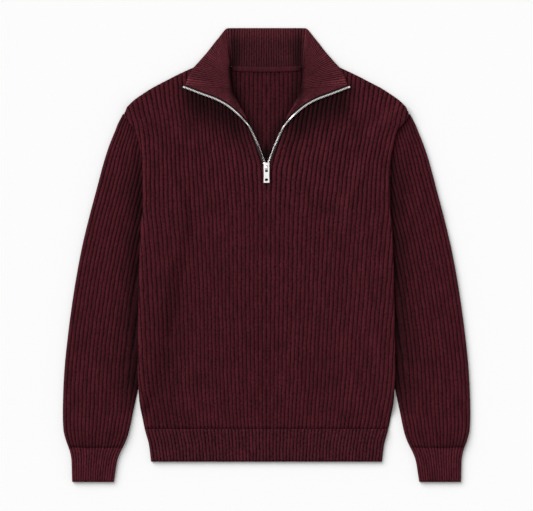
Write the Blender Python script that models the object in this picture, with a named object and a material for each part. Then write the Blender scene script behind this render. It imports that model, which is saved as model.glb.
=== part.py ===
"""A half zip sweatshirt in rib knit, laid flat on its back with the zip open.

+X is the wearer's left, +Y points to the neck and +Z points up from the surface.
The origin is on the surface, under the middle of the whole garment.
The sizes below are millimetres; MM turns them into metres when a mesh is made.
"""
import math

import bmesh
import bpy
import numpy as np
from mathutils import Matrix, Vector

MM = 0.001

# The cloth
CLOTH = 2.2                # thickness of the knit without its ribs
RIB = 1.1                  # how far a rib stands up from the knit
BACK_RIB = 1.0             # the same inside the back, where it shows in the neck
FINE_RIB = 0.8             # the same on the collar, which is knitted finer
SEAM_GAP = 0.3             # parting between two pieces that are sewn or lie together
EDGE_THICK = 0.5           # thickness to which a sewn edge is pressed

# The body
HEM_SEAM_Y = -304.0        # seam between the panels and the hem band
HEM_Y = -361.4             # lower edge of the hem band
BODY_RIBS_A_SIDE = 30      # ribs from the zip to a side seam
HEM_RIBS = 70
BODY_LOFT = 2.1            # air between the front and the back
LOFT_AT_SHOULDER = 0.25    # the part of it that is left along the shoulders
LOFT_BUILD = 60.0          # distance below a shoulder where it is whole
SPREAD_FADE = 1.6          # how soon the ribs' lean beside the open zip fades towards the side
LIFT = 6.5                 # how far the sides of the body lie up on the sleeves
LIFT_RAMP = 26.0           # width of the slope up to that
EDGE_ROLL = 1.3            # how far the back's outer edge rolls up
OPENING_FINE_HALF = 96.0   # half width inside which the front's inner face is finer
NECK_FINE_HALF = 84.0      # the same on the back, round the ribs seen in the neck
BACK_SEEN_FROM_Y = 168.0   # the back's ribs rise from here
BACK_SEEN_FULL_Y = 190.0   # to here
SEEN_EDGE = 3.0            # and end this far inside the neck opening
SEEN_FADE = 4.0            # rising over this width
COARSE_STEP = 6            # columns of the ribs from one point to the next elsewhere

# The sleeves and cuffs
CUFF_SEAM_Y = -336.0
CUFF_Y = -396.8
SLEEVE_RIBS = 18
SLEEVE_RIB_PITCH = 6.9
SLEEVE_FREE = 7.4          # height of the flattened sleeve beside the body
SLEEVE_CROWN = 0.8         # and how much more it has along its middle
SLEEVE_COVERED = 6.0       # its height where the body lies on it
COVER_REACH = 10.0         # up and down, how near the body must be to cover it
COVER_EDGE = 3.0           # the sleeve starts to rise this far beside the body
COVER_SLOPE = 13.0         # and is free after this width
FREE_FROM_Y = -240.0       # below here it rises out from under the body
FREE_FULL_Y = -275.0       # and here it is free all across
SLEEVE_EVEN_RIBS = 15      # ribs that keep their pitch where the sleeve is widest
CUFF_HEIGHT = 7.4
HEM_HEIGHT = 7.0
TUBE_EDGE = 4.0            # radius of a tube's folded edge
TUBE_WAIST = 0.42          # height of that edge's outermost line, as a part of the tube's
CORE_WAIST = 0.45          # the same inside the tube
FOLD_WALL = 2.5            # wall at a folded edge

# The neck
NECK_DROP_Y = 324.6        # neck seam at the centre back
NECK_HALF = 62.0           # half of the straight part of the neck seam
NECK_RISE = 5.5            # how much the seam has risen there
NECK_END = 68.6            # half width at which the back's edge leaves the seam
ROOT_CLEAR = 0.4           # from the back's ribs up to the foot of the collar's roll
ROLL_TURN = 1.6            # how far out the roll leans as it rises
ROLL_TURN_PART = 0.18      # the same as a part of a narrow wing
ROLL_CREST = 6.0           # from the root out to the top of the roll
ROLL_CREST_PART = 0.42
ROLL_FALL = 1.3            # how the wing falls from its roll to its edge
COLLAR_BACK_RIBS = 15      # ribs from the centre back to the roll
COLLAR_WING_RIBS = 29      # ribs from the roll to the wing's tip
NECK_TAPE_WIDTH = 8.8
NECK_TAPE = 1.2

# The zip
NOTCH_Y = 147.2            # bottom of the cut in the front
NOTCH_HALF = 6.6
SLIDER_TOP_Y = 161.7
SLIDER_LENGTH = 13.6
SLIDER_WIDE = 11.6
SLIDER_NARROW = 8.6
SLIDER_BOTTOM_Z = 4.0
SLIDER_TOP_Z = 9.6
CROWN_WIDTH = 3.6
CROWN_LENGTH = 10.0
CROWN_THICK = 1.2
PULL_WIDTH = 10.5
PULL_WAIST = 9.6
PULL_LENGTH = 27.0         # from the pivot to the free end
PULL_THICK = 1.4
PULL_BAR = 1.6             # bar of the pull that turns in the crown
PIVOT_Y = 153.1
PIVOT_Z = 10.9
PULL_SLOT_HALF = 2.3       # slot that the crown passes through
PULL_SLOT_END = 8.1
PULL_HOLE_Y = -21.8        # hole near the free end
PULL_HOLE_WIDTH = 5.5
PULL_HOLE_LENGTH = 4.5
PULL_CORNER = 0.8
PULL_SLOT_CORNER = 0.5
PULL_HOLE_CORNER = 1.8
CROWN_BEHIND = 0.6         # from the pivot down to the crown's middle
CROWN_ROOM = 1.5           # from the pivot up to the crown's inner face
CROWN_SUNK = 0.6           # depth of the crown's feet in the slider
STOP_LENGTH = 3.2
STOP_WIDTH = 3.2
STOP_HEIGHT = 2.8
STOP_CORNER = 0.5
SLIDER_CORNER = 1.0

BURGUNDY = (58, 22, 28)
BURGUNDY_LIGHT = (70, 30, 36)
BURGUNDY_DARK = (44, 15, 20)
NICKEL = (214, 212, 210)

DIAGONAL_TIE = 0.001       # diagonals this close in length count as equal
TOP_SEARCH_STEP = 2.0      # steps up a column while looking for its upper end


def table(columns, *rows):
    """A table with named columns, each of them an array."""
    names = columns.split()
    return {name: np.array([row[i] for row in rows], float) for i, name in enumerate(names)}


def smooth_through(at, values):
    """A smooth curve through the rows of a table, with no overshoot between them."""
    steps = np.diff(at)
    slopes = np.diff(values) / steps
    tangents = np.empty(len(at))
    tangents[0] = slopes[0]
    tangents[-1] = slopes[-1]
    for i in range(1, len(at) - 1):
        before, after = slopes[i - 1], slopes[i]
        turns = before * after <= 0.0
        tangents[i] = 0.0 if turns else 2.0 * before * after / (before + after)

    def curve(where):
        where = np.clip(where, at[0], at[-1])
        i = np.clip(np.searchsorted(at, where, side="right") - 1, 0, len(steps) - 1)
        t = (where - at[i]) / steps[i]
        start = values[i] * (1.0 + 2.0 * t) * (1.0 - t) ** 2
        end = values[i + 1] * t * t * (3.0 - 2.0 * t)
        leave = tangents[i] * steps[i] * t * (1.0 - t) ** 2
        arrive = tangents[i + 1] * steps[i] * t * t * (t - 1.0)
        return start + end + leave + arrive

    return curve


def smooth_step(value, low, high):
    """0 below low, 1 above high and a soft rise between them."""
    t = np.clip((value - low) / (high - low), 0.0, 1.0)
    return t * t * (3.0 - 2.0 * t)


def rounded(distance, radius):
    """Height of a quarter round, 0 to 1, at a distance from its edge."""
    t = np.clip(distance / radius, 0.0, 1.0)
    return np.sqrt(1.0 - (1.0 - t) ** 2)


# Outlines, each read from the hem up to the neck
BODY_SIDE = table(
    "y half",
    (-361.4, 202.0),
    (-332.5, 205.6),
    (-306.0, 212.6),
    (-280.0, 217.9),
    (-253.0, 222.5),
    (-200.0, 225.2),
    (-7.0, 222.2),
    (50.0, 219.6),
    (84.0, 216.4),
    (130.0, 216.4),
    (185.0, 221.0),
    (217.0, 230.0),
    (245.0, 253.0),
    (262.0, 262.0),
    (352.0, 276.0),
)
SHOULDER = table(
    "x y",
    (78.0, 349.0),
    (104.0, 338.0),
    (137.0, 323.7),
    (159.2, 313.2),
    (179.4, 302.7),
    (199.5, 292.2),
    (216.1, 281.7),
    (231.0, 271.2),
    (241.5, 260.7),
    (248.5, 252.0),
    (253.0, 245.0),
    (262.0, 226.0),
)
# Edge of the front along the open zip, from the slider to the neck point
OPENING = table(
    "x y",
    (7.6, 160.5),
    (9.6, 167.0),
    (18.8, 192.5),
    (31.0, 218.0),
    (38.0, 232.0),
    (45.6, 246.0),
    (54.6, 264.0),
    (62.2, 281.0),
    (67.0, 303.0),
    (70.0, 324.0),
    (78.0, 349.0),
)
# How far the open zip pushes the front's ribs aside
RIB_SPREAD = table(
    "y x",
    (160.5, 0.0),
    (167.0, 0.85),
    (180.0, 4.0),
    (192.5, 7.6),
    (205.0, 12.0),
    (219.0, 16.0),
    (234.0, 18.8),
    (250.0, 20.9),
    (281.0, 22.9),
    (352.0, 23.5),
)
SLEEVE_OUTER = table(
    "y x",
    (-336.0, 346.6),
    (-322.0, 351.6),
    (-306.0, 355.2),
    (-280.0, 356.4),
    (-240.0, 355.6),
    (-200.0, 353.4),
    (-148.0, 348.2),
    (-70.0, 337.8),
    (8.7, 323.8),
    (61.0, 311.5),
    (114.0, 297.5),
    (166.0, 283.5),
    (192.5, 274.8),
    (218.7, 264.2),
    (229.0, 260.2),
    (247.0, 251.0),
)
# The sleeve's inner edge, which is under the body above y = -245
SLEEVE_INNER = table(
    "y x",
    (-336.0, 251.0),
    (-322.0, 244.6),
    (-306.0, 239.8),
    (-280.0, 234.4),
    (-254.0, 229.0),
    (-166.0, 211.0),
    (-79.0, 193.0),
    (8.7, 176.0),
    (74.0, 164.0),
)
# The sleeve's upper end, hidden under the body, from its outer to its inner edge
SLEEVE_HEAD = table(
    "across y",
    (0.0, 247.0),
    (0.35, 216.0),
    (0.57, 180.0),
    (0.83, 130.0),
    (0.93, 98.0),
    (1.0, 74.0),
)
CUFF_OUTER = table(
    "y x",
    (-396.8, 340.0),
    (-385.0, 340.4),
    (-359.0, 341.2),
    (-345.0, 343.6),
    (-336.0, 346.6),
)
CUFF_INNER = table(
    "y x",
    (-396.8, 267.0),
    (-385.0, 265.2),
    (-359.0, 260.8),
    (-345.0, 255.6),
    (-336.0, 251.0),
)
# Where the body has climbed fully onto the sleeve
ON_SLEEVE = table(
    "y half",
    (-290.0, 246.0),
    (-254.0, 218.0),
    (-166.0, 197.0),
    (-79.0, 179.0),
    (8.7, 161.0),
    (60.0, 148.0),
    (90.0, 149.0),
    (130.0, 164.0),
    (180.0, 184.0),
    (215.0, 200.0),
    (247.0, 226.0),
    (281.0, 262.0),
    (349.0, 300.0),
)
# The collar from the centre back round to the foot of the opening.
# root: the neck seam, then the roll; edge: the top edge, then the zip side.
# roll: height of the cloth's upper face at the roll; lip: its height at the edge.
COLLAR = table(
    "root_x root_y edge_x edge_y roll lip",
    (0.0, 324.9, 0.0, 397.0, 2.2, 2.2),
    (34.0, 326.5, 33.0, 397.0, 2.2, 2.2),
    (62.2, 330.4, 63.0, 396.9, 2.2, 2.2),
    (64.9, 329.4, 68.6, 395.2, 12.2, 3.4),
    (64.9, 326.0, 86.6, 376.5, 13.6, 4.0),
    (64.5, 321.0, 103.2, 355.4, 14.4, 4.8),
    (63.8, 314.0, 117.6, 338.8, 14.8, 6.6),
    (62.9, 307.0, 130.4, 323.8, 14.9, 9.4),
    (61.4, 299.0, 137.0, 311.0, 14.9, 11.2),
)
# The rest of the wing, down the open zip: zip is a row of ZIP_LINE, which the edge follows
WING = table(
    "zip root_x root_y roll lip",
    (12.0, 59.4, 291.0, 14.8, 11.4),
    (11.0, 56.9, 281.5, 14.6, 11.3),
    (10.0, 54.2, 275.5, 14.4, 11.4),
    (9.0, 50.4, 268.5, 14.2, 11.6),
    (8.0, 45.6, 259.5, 13.8, 12.0),
    (7.0, 39.6, 249.5, 12.8, 12.0),
    (6.5, 35.6, 242.5, 11.6, 11.2),
)
WING_FROM_TEETH = 4.2      # from the teeth line to the edge of the wing
COLLAR_ROLL_ROW = 3        # the row where the collar has risen to its roll
# The zip's teeth line from the slider to the wing's tip.
# turn: 0 where the tape lies outward from the teeth, 180 where it lies inward on the wing
ZIP_LINE = table(
    "x y z turn tape",
    (3.5, 162.4, 6.3, 0.0, 3.6),
    (5.6, 168.0, 6.2, 0.0, 3.6),
    (9.8, 179.0, 6.2, 0.0, 3.6),
    (14.9, 192.5, 6.2, 0.0, 3.6),
    (20.6, 206.0, 6.6, 8.0, 3.0),
    (26.4, 218.0, 8.2, 40.0, 2.0),
    (33.2, 228.6, 10.2, 90.0, 1.7),
    (43.6, 239.6, 10.9, 145.0, 2.0),
    (54.6, 250.2, 10.9, 176.0, 3.0),
    (67.8, 260.6, 10.7, 180.0, 3.2),
    (86.6, 271.2, 10.6, 180.0, 3.2),
    (114.6, 281.8, 10.5, 180.0, 3.2),
    (142.6, 292.6, 10.5, 180.0, 3.2),
)
BEAD_HALF_WIDTH = 1.4      # envelope of the teeth, to each side of their line
BEAD_HALF_HEIGHT = 1.3
TAPE_HALF_THICK = 0.5

body_half = smooth_through(BODY_SIDE["y"], BODY_SIDE["half"])
shoulder_y = smooth_through(SHOULDER["x"], SHOULDER["y"])
opening_y = smooth_through(OPENING["x"], OPENING["y"])
rib_spread = smooth_through(RIB_SPREAD["y"], RIB_SPREAD["x"])
sleeve_outer_x = smooth_through(SLEEVE_OUTER["y"], SLEEVE_OUTER["x"])
sleeve_inner_x = smooth_through(SLEEVE_INNER["y"], SLEEVE_INNER["x"])
sleeve_head_y = smooth_through(SLEEVE_HEAD["across"], SLEEVE_HEAD["y"])
cuff_outer_x = smooth_through(CUFF_OUTER["y"], CUFF_OUTER["x"])
cuff_inner_x = smooth_through(CUFF_INNER["y"], CUFF_INNER["x"])
on_sleeve_half = smooth_through(ON_SLEEVE["y"], ON_SLEEVE["half"])


zip_rows = np.arange(len(ZIP_LINE["x"]), dtype=float)
zip_curves = {key: smooth_through(zip_rows, ZIP_LINE[key]) for key in ZIP_LINE}


def zip_point(row):
    """A point of the teeth line, at a fraction of the rows of its table."""
    return np.array([zip_curves[key](row) for key in ("x", "y", "z")])


def beside_zip(row, distance):
    """The plan point this far from the teeth line, on the wing's side of it."""
    ahead = zip_point(row + 0.01) - zip_point(row - 0.01)
    ahead /= np.linalg.norm(ahead)
    point = zip_point(row)
    return point[0] - ahead[1] * distance, point[1] + ahead[0] * distance


def neck_seam_y(x):
    """The back neck seam, nearly straight and a little higher at its ends."""
    return NECK_DROP_Y + NECK_RISE * (np.abs(x) / NECK_HALF) ** 2


# Meshes

def clear_scene():
    for thing in list(bpy.data.objects):
        bpy.data.objects.remove(thing, do_unlink=True)


def linear(channel):
    value = channel / 255.0
    return value / 12.92 if value <= 0.04045 else ((value + 0.055) / 1.055) ** 2.4


def plain_material(name, rgb, roughness, metallic=0.0):
    material = bpy.data.materials.new(name)
    material.use_nodes = True
    shader = material.node_tree.nodes["Principled BSDF"]
    shader.inputs["Base Color"].default_value = (*[linear(c) for c in rgb], 1.0)
    shader.inputs["Roughness"].default_value = roughness
    shader.inputs["Metallic"].default_value = metallic
    return material


def add_object(name, mesh, material, collection):
    """An object from a bmesh in millimetres, with its faces turned outward."""
    bmesh.ops.recalc_face_normals(mesh, faces=mesh.faces)
    bmesh.ops.scale(mesh, vec=(MM, MM, MM), verts=mesh.verts)
    data = bpy.data.meshes.new(name)
    mesh.to_mesh(data)
    mesh.free()
    data.materials.append(material)
    thing = bpy.data.objects.new(name, data)
    collection.objects.link(thing)
    return thing


def add_points(mesh, points):
    """Vertices for a grid of points, as rows of columns."""
    return [[mesh.verts.new(point) for point in row] for row in points]


def skin(mesh, grid, around=False):
    """Faces between the rows of a grid, closed round if its rows are loops.

    A cell is cut along the diagonal that is shorter in plan, so two grids with the
    same plan are cut alike and never cross.
    """
    for low, high in zip(grid, grid[1:]):
        count = len(low)
        for i in range(count if around else count - 1):
            k = (i + 1) % count
            rising = (low[i].co - high[k].co).xy.length
            falling = (low[k].co - high[i].co).xy.length
            if rising <= falling + DIAGONAL_TIE:
                mesh.faces.new((low[i], low[k], high[k]))
                mesh.faces.new((low[i], high[k], high[i]))
            else:
                mesh.faces.new((low[i], low[k], high[i]))
                mesh.faces.new((low[k], high[k], high[i]))


def stitch(mesh, line_a, at_a, line_b, at_b):
    """Triangles between two lines of vertices that advance at their own steps."""
    a = 0
    b = 0
    while a < len(line_a) - 1 or b < len(line_b) - 1:
        step_a = b == len(line_b) - 1
        if a < len(line_a) - 1 and not step_a:
            step_a = at_a[a + 1] <= at_b[b + 1] + 1e-9
        if step_a:
            mesh.faces.new((line_a[a], line_a[a + 1], line_b[b]))
            a += 1
        else:
            mesh.faces.new((line_a[a], line_b[b + 1], line_b[b]))
            b += 1


def panel_mesh(upper, upper_at, under, under_at):
    """A closed wall between two open grids with the same rows.

    The steps along a grid's first row and along its last row close the wall's ends.
    """
    mesh = bmesh.new()
    top = add_points(mesh, upper)
    low = add_points(mesh, under)
    skin(mesh, top)
    skin(mesh, low)
    for a_row, b_row, c_row, d_row in zip(top, top[1:], low, low[1:]):
        mesh.faces.new((a_row[0], b_row[0], d_row[0], c_row[0]))
        mesh.faces.new((a_row[-1], b_row[-1], d_row[-1], c_row[-1]))
    stitch(mesh, top[0], upper_at[0], low[0], under_at[0])
    stitch(mesh, top[-1], upper_at[-1], low[-1], under_at[-1])
    return mesh


def tube_mesh(outer, outer_at, inner, inner_at):
    """A closed wall between two grids of loops with the same rows."""
    mesh = bmesh.new()
    shell = add_points(mesh, outer)
    core = add_points(mesh, inner)
    skin(mesh, shell, around=True)
    skin(mesh, core, around=True)
    for end in (0, -1):
        stitch(
            mesh,
            shell[end] + [shell[end][0]], list(outer_at) + [1.0],
            core[end] + [core[end][0]], list(inner_at) + [1.0],
        )
    return mesh


def mirrored(points, side):
    """The points of a left piece, moved over to the wearer's right for side -1."""
    return np.asarray(points, float) * np.array([side, 1.0, 1.0])


# Heights of the layers

def lift(x, y):
    """How far the body is lifted where it lies on a sleeve."""
    full = on_sleeve_half(y)
    return LIFT * smooth_step(np.abs(x), full - LIFT_RAMP, full)


def back_top(x, y):
    return lift(x, y) + CLOTH


def loft(x, y):
    """Air between the panels: less towards the sides and along the shoulders."""
    inside = 1.0 - (np.abs(x) / body_half(y)) ** 4
    below = smooth_step(shoulder_y(np.abs(x)) - y, 0.0, LOFT_BUILD)
    return BODY_LOFT * np.clip(inside, 0.0, 1.0) * (LOFT_AT_SHOULDER + (1.0 - LOFT_AT_SHOULDER) * below)


def front_under(x, y):
    return back_top(x, y) + SEAM_GAP + loft(x, y)


def covered_to(y):
    """Half width out to which the body covers a sleeve near this height."""
    return np.maximum(np.maximum(body_half(y - COVER_REACH), body_half(y + COVER_REACH)), body_half(y))


def sleeve_cover(x, y):
    """0 where the sleeve is under the body, 1 where it lies free."""
    start = covered_to(y) + COVER_EDGE
    beside = smooth_step(x, start, start + COVER_SLOPE)
    free = smooth_step(-y, -FREE_FROM_Y, -FREE_FULL_Y)
    return np.maximum(beside, free)


def sleeve_top(x, y):
    outer = sleeve_outer_x(y)
    inner = sleeve_inner_x(y)
    across = np.clip((outer - x) / (outer - inner), 0.0, 1.0)
    crown = SLEEVE_CROWN * np.sin(math.pi * across)
    free = SLEEVE_FREE + crown
    return SLEEVE_COVERED + (free - SLEEVE_COVERED) * sleeve_cover(x, y)


# The panels

BODY_ROWS = (0.0, 0.05, 0.11, 0.2, 0.34, 0.5, 0.63, 0.72, 0.79, 0.85, 0.9, 0.95, 1.0)
BODY_TOP_HALF = float(body_half(300.0))


def body_columns():
    """Columns of the front at constant parts of its half width, and its rib peaks."""
    chest = float(body_half(60.0))
    columns = [0.0, 0.5 * NOTCH_HALF / chest, NOTCH_HALF / chest]
    peaks = [0.0, 1.0, 0.0]
    start = (NOTCH_HALF + 1.0) / chest
    for i in range(2 * BODY_RIBS_A_SIDE + 1):
        columns.append(start + (1.0 - start) * i / (2 * BODY_RIBS_A_SIDE))
        peaks.append(float(i % 2))
    mirror = [-c for c in columns[:0:-1]]
    return np.array(mirror + columns), np.array(peaks[:0:-1] + peaks)


def column_x(part, y, spread):
    """Where a column at this part of the half width runs, pushed aside by the open zip."""
    size = np.abs(part)
    return np.sign(part) * (body_half(y) * size + spread(y) * (1.0 - size) ** SPREAD_FADE)


def not_spread(y):
    return 0.0 * y


def column_top(part, edge_y, spread):
    """Where a column at this part of the half width first meets an upper edge."""
    def inside(y):
        return y < edge_y(abs(float(column_x(part, y, spread))))

    if not inside(NOTCH_Y):
        return NOTCH_Y
    low = high = NOTCH_Y
    while inside(high):
        low = high
        high += TOP_SEARCH_STEP
    for _ in range(30):
        middle = 0.5 * (low + high)
        if inside(middle):
            low = middle
        else:
            high = middle
    return 0.5 * (low + high)


def front_edge_y(x):
    """Upper edge of the front: the notch, the open zip, then the shoulder."""
    if x <= 0.5 * (NOTCH_HALF + OPENING["x"][0]):
        return NOTCH_Y
    if x < OPENING["x"][-1]:
        return float(opening_y(x))
    return float(shoulder_y(x))


def back_edge_y(x):
    """Upper edge of the back: the neck seam, then the shoulder."""
    if x <= NECK_END:
        return float(neck_seam_y(min(x, NECK_HALF))) - 0.5 * SEAM_GAP
    if x < SHOULDER["x"][0]:
        rise = (x - NECK_END) / (SHOULDER["x"][0] - NECK_END)
        low = float(neck_seam_y(NECK_HALF))
        return low + (SHOULDER["y"][0] - low) * rise ** 0.6
    return float(shoulder_y(x))


def panel_plan(columns, edge_y, spread=not_spread):
    """Plan positions of a panel's grid, from the hem seam up to its upper edge."""
    bottom = HEM_SEAM_Y + 0.5 * SEAM_GAP
    tops = np.array([column_top(part, edge_y, spread) for part in columns])
    y = bottom + (tops[None, :] - bottom) * np.array(BODY_ROWS)[:, None]
    return column_x(columns[None, :], y, spread), y


def chosen_columns(columns, fine_half, fine_step, coarse_step):
    """Every few columns: close together near the opening, further apart outside it."""
    half = len(columns) // 2
    picked = {0, 2 * half}
    for k in range(half):
        near = columns[half + k] * BODY_TOP_HALF < fine_half
        if k % (fine_step if near else coarse_step) == 0:
            picked.update((half - k, half + k))
    return sorted(picked)


def grid(x, y, z):
    return np.stack(np.broadcast_arrays(x, y, z), axis=-1)


def make_front(collection, material):
    columns, peaks = body_columns()
    x, y = panel_plan(columns, front_edge_y, rib_spread)
    under = front_under(x, y)
    ribs = RIB * peaks[None, :] * np.ones_like(x)
    ribs[:, :2] = 0.0
    ribs[:, -2:] = 0.0
    upper = under + CLOTH + ribs
    thin = under + EDGE_THICK
    upper[:, 0] = thin[:, 0]
    upper[:, -1] = thin[:, -1]
    on_shoulder = np.abs(x[-1]) > OPENING["x"][-1]
    upper[-1, on_shoulder] = thin[-1, on_shoulder]
    # the inner face keeps the back's columns, so that the two panels never cross
    few = chosen_columns(columns, OPENING_FINE_HALF, 2, COARSE_STEP)
    low_x, low_y = panel_plan(columns[few], front_edge_y)
    mesh = panel_mesh(grid(x, y, upper), x, grid(low_x, low_y, front_under(low_x, low_y)), low_x)
    return add_object("front", mesh, material, collection)


def make_back(collection, material):
    columns, peaks = body_columns()
    x, y = panel_plan(columns, back_edge_y)
    inside = smooth_step(opening_reach(y) - np.abs(x), SEEN_EDGE, SEEN_EDGE + SEEN_FADE)
    seen = smooth_step(y, BACK_SEEN_FROM_Y, BACK_SEEN_FULL_Y) * inside
    top = back_top(x, y) + BACK_RIB * peaks[None, :] * seen
    low = lift(x, y)
    low[:, 0] += EDGE_ROLL
    low[:, -1] += EDGE_ROLL
    on_shoulder = np.abs(x[-1]) > SHOULDER["x"][0]
    low[-1, on_shoulder] += EDGE_ROLL
    fine = chosen_columns(columns, NECK_FINE_HALF, 1, COARSE_STEP)
    few = chosen_columns(columns, NECK_FINE_HALF, 4, COARSE_STEP)
    mesh = panel_mesh(grid(x, y, top)[:, fine], x[:, fine], grid(x, y, low)[:, few], x[:, few])
    return add_object("back", mesh, material, collection)


def opening_reach(y):
    """Half width of the neck opening at a height on the garment."""
    return np.interp(y, OPENING["y"], OPENING["x"])


# Tubes

def tube_at(top_count, bottom_count):
    """Steps round a tube: over its top, then back under it."""
    over = [0.5 * i / top_count for i in range(top_count + 1)]
    under = [0.5 + 0.5 * i / (bottom_count + 1) for i in range(1, bottom_count + 1)]
    return over + under


EDGE_PARTS = (0.3, 1.0)     # in edge radii, points where a fold turns under


def tube_points(place, top_height, ribs, rows, top_count):
    """Outer and inner loops of a flattened tube.

    place(across, row) gives a plan point, with across 0 at one edge and 1 at the other.
    """
    outer = []
    inner = []
    inner_count = max(4, top_count // 6)
    for row in rows:
        edge_a = np.array(place(0.0, row))
        edge_b = np.array(place(1.0, row))
        width = float(np.hypot(*(edge_b - edge_a)))
        near = TUBE_EDGE / width
        loop = []
        for k in range(top_count + 1):
            across = k / top_count
            x, y = place(across, row)
            height = float(top_height(x, y))
            middle = TUBE_WAIST * height
            gap = min(across, 1.0 - across) * width
            rise = float(rounded(gap, TUBE_EDGE))
            loop.append((x, y, middle + (height - middle) * rise + ribs(k, x, y)))
        back_under = [(1.0 - part * near, part) for part in EDGE_PARTS]
        back_under += [(2.0 / 3.0, 1.0), (1.0 / 3.0, 1.0)]
        back_under += [(part * near, part) for part in reversed(EDGE_PARTS)]
        for across, part in back_under:
            x, y = place(across, row)
            turned = 1.0 - float(rounded(part, 1.0))
            loop.append((x, y, TUBE_WAIST * float(top_height(x, y)) * turned))
        outer.append(loop)
        wall = FOLD_WALL / width
        core = []
        for k in range(inner_count + 1):
            across = wall + (1.0 - 2.0 * wall) * k / inner_count
            x, y = place(across, row)
            height = float(top_height(x, y))
            at_edge = k in (0, inner_count)
            core.append((x, y, CORE_WAIST * height if at_edge else height - CLOTH))
        for k in range(inner_count - 1, 0, -1):
            across = wall + (1.0 - 2.0 * wall) * k / inner_count
            x, y = place(across, row)
            core.append((x, y, CLOTH))
        inner.append(core)
    outer_at = tube_at(top_count, 6)
    inner_at = tube_at(inner_count, inner_count - 1)
    return outer, outer_at, inner, inner_at


HEM_ROWS = (0.0, 0.3, 0.65, 1.0)


def make_hem_band(collection, material):
    top_count = 2 * HEM_RIBS
    upper = HEM_SEAM_Y - 0.5 * SEAM_GAP

    def place(across, row):
        y = upper + (HEM_Y - upper) * row
        return (2.0 * across - 1.0) * float(body_half(y)), y

    def ribs(k, x, y):
        return RIB * (k % 2) if 1 < k < top_count - 1 else 0.0

    def height(x, y):
        return HEM_HEIGHT

    mesh = tube_mesh(*tube_points(place, height, ribs, HEM_ROWS, top_count))
    return add_object("hem_band", mesh, material, collection)


def sleeve_distance(across, y):
    """Distance of a rib column from the sleeve's outer edge."""
    width = float(sleeve_outer_x(y) - sleeve_inner_x(y))
    full = SLEEVE_RIBS * SLEEVE_RIB_PITCH
    even = SLEEVE_EVEN_RIBS / SLEEVE_RIBS
    if width <= full:
        return across * width
    if across <= even:
        return across * full
    return even * full + (width - even * full) * (across - even) / (1.0 - even)


SLEEVE_ROWS = (0.0, 0.025, 0.06, 0.12, 0.22, 0.34, 0.47, 0.6, 0.73, 0.84, 0.91, 0.96, 1.0)


def sleeve_place(across, row):
    top = float(sleeve_head_y(across))
    y = top + (CUFF_SEAM_Y + 0.5 * SEAM_GAP - top) * row
    return float(sleeve_outer_x(y)) - sleeve_distance(across, y), y


def make_sleeve(collection, material, name, side):
    top_count = 2 * SLEEVE_RIBS

    def ribs(k, x, y):
        if not 1 < k < top_count - 1:
            return 0.0
        return RIB * (k % 2) * float(sleeve_cover(x, y))

    outer, outer_at, inner, inner_at = tube_points(
        sleeve_place, sleeve_top, ribs, SLEEVE_ROWS, top_count)
    mesh = tube_mesh(mirrored(outer, side), outer_at, mirrored(inner, side), inner_at)
    return add_object(name, mesh, material, collection)


CUFF_ROWS = (0.0, 0.14, 0.4, 0.7, 1.0)


def make_cuff(collection, material, name, side):
    top_count = 2 * SLEEVE_RIBS
    upper = CUFF_SEAM_Y - 0.5 * SEAM_GAP

    def place(across, row):
        y = upper + (CUFF_Y - upper) * row
        outer = float(cuff_outer_x(y))
        return outer + (float(cuff_inner_x(y)) - outer) * across, y

    def ribs(k, x, y):
        return RIB * (k % 2) if 1 < k < top_count - 1 else 0.0

    def height(x, y):
        return CUFF_HEIGHT

    outer, outer_at, inner, inner_at = tube_points(place, height, ribs, CUFF_ROWS, top_count)
    mesh = tube_mesh(mirrored(outer, side), outer_at, mirrored(inner, side), inner_at)
    return add_object(name, mesh, material, collection)


# The collar

ROOT_Z = CLOTH + BACK_RIB + ROOT_CLEAR  # foot of the roll, just clear of the back's ribs


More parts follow.
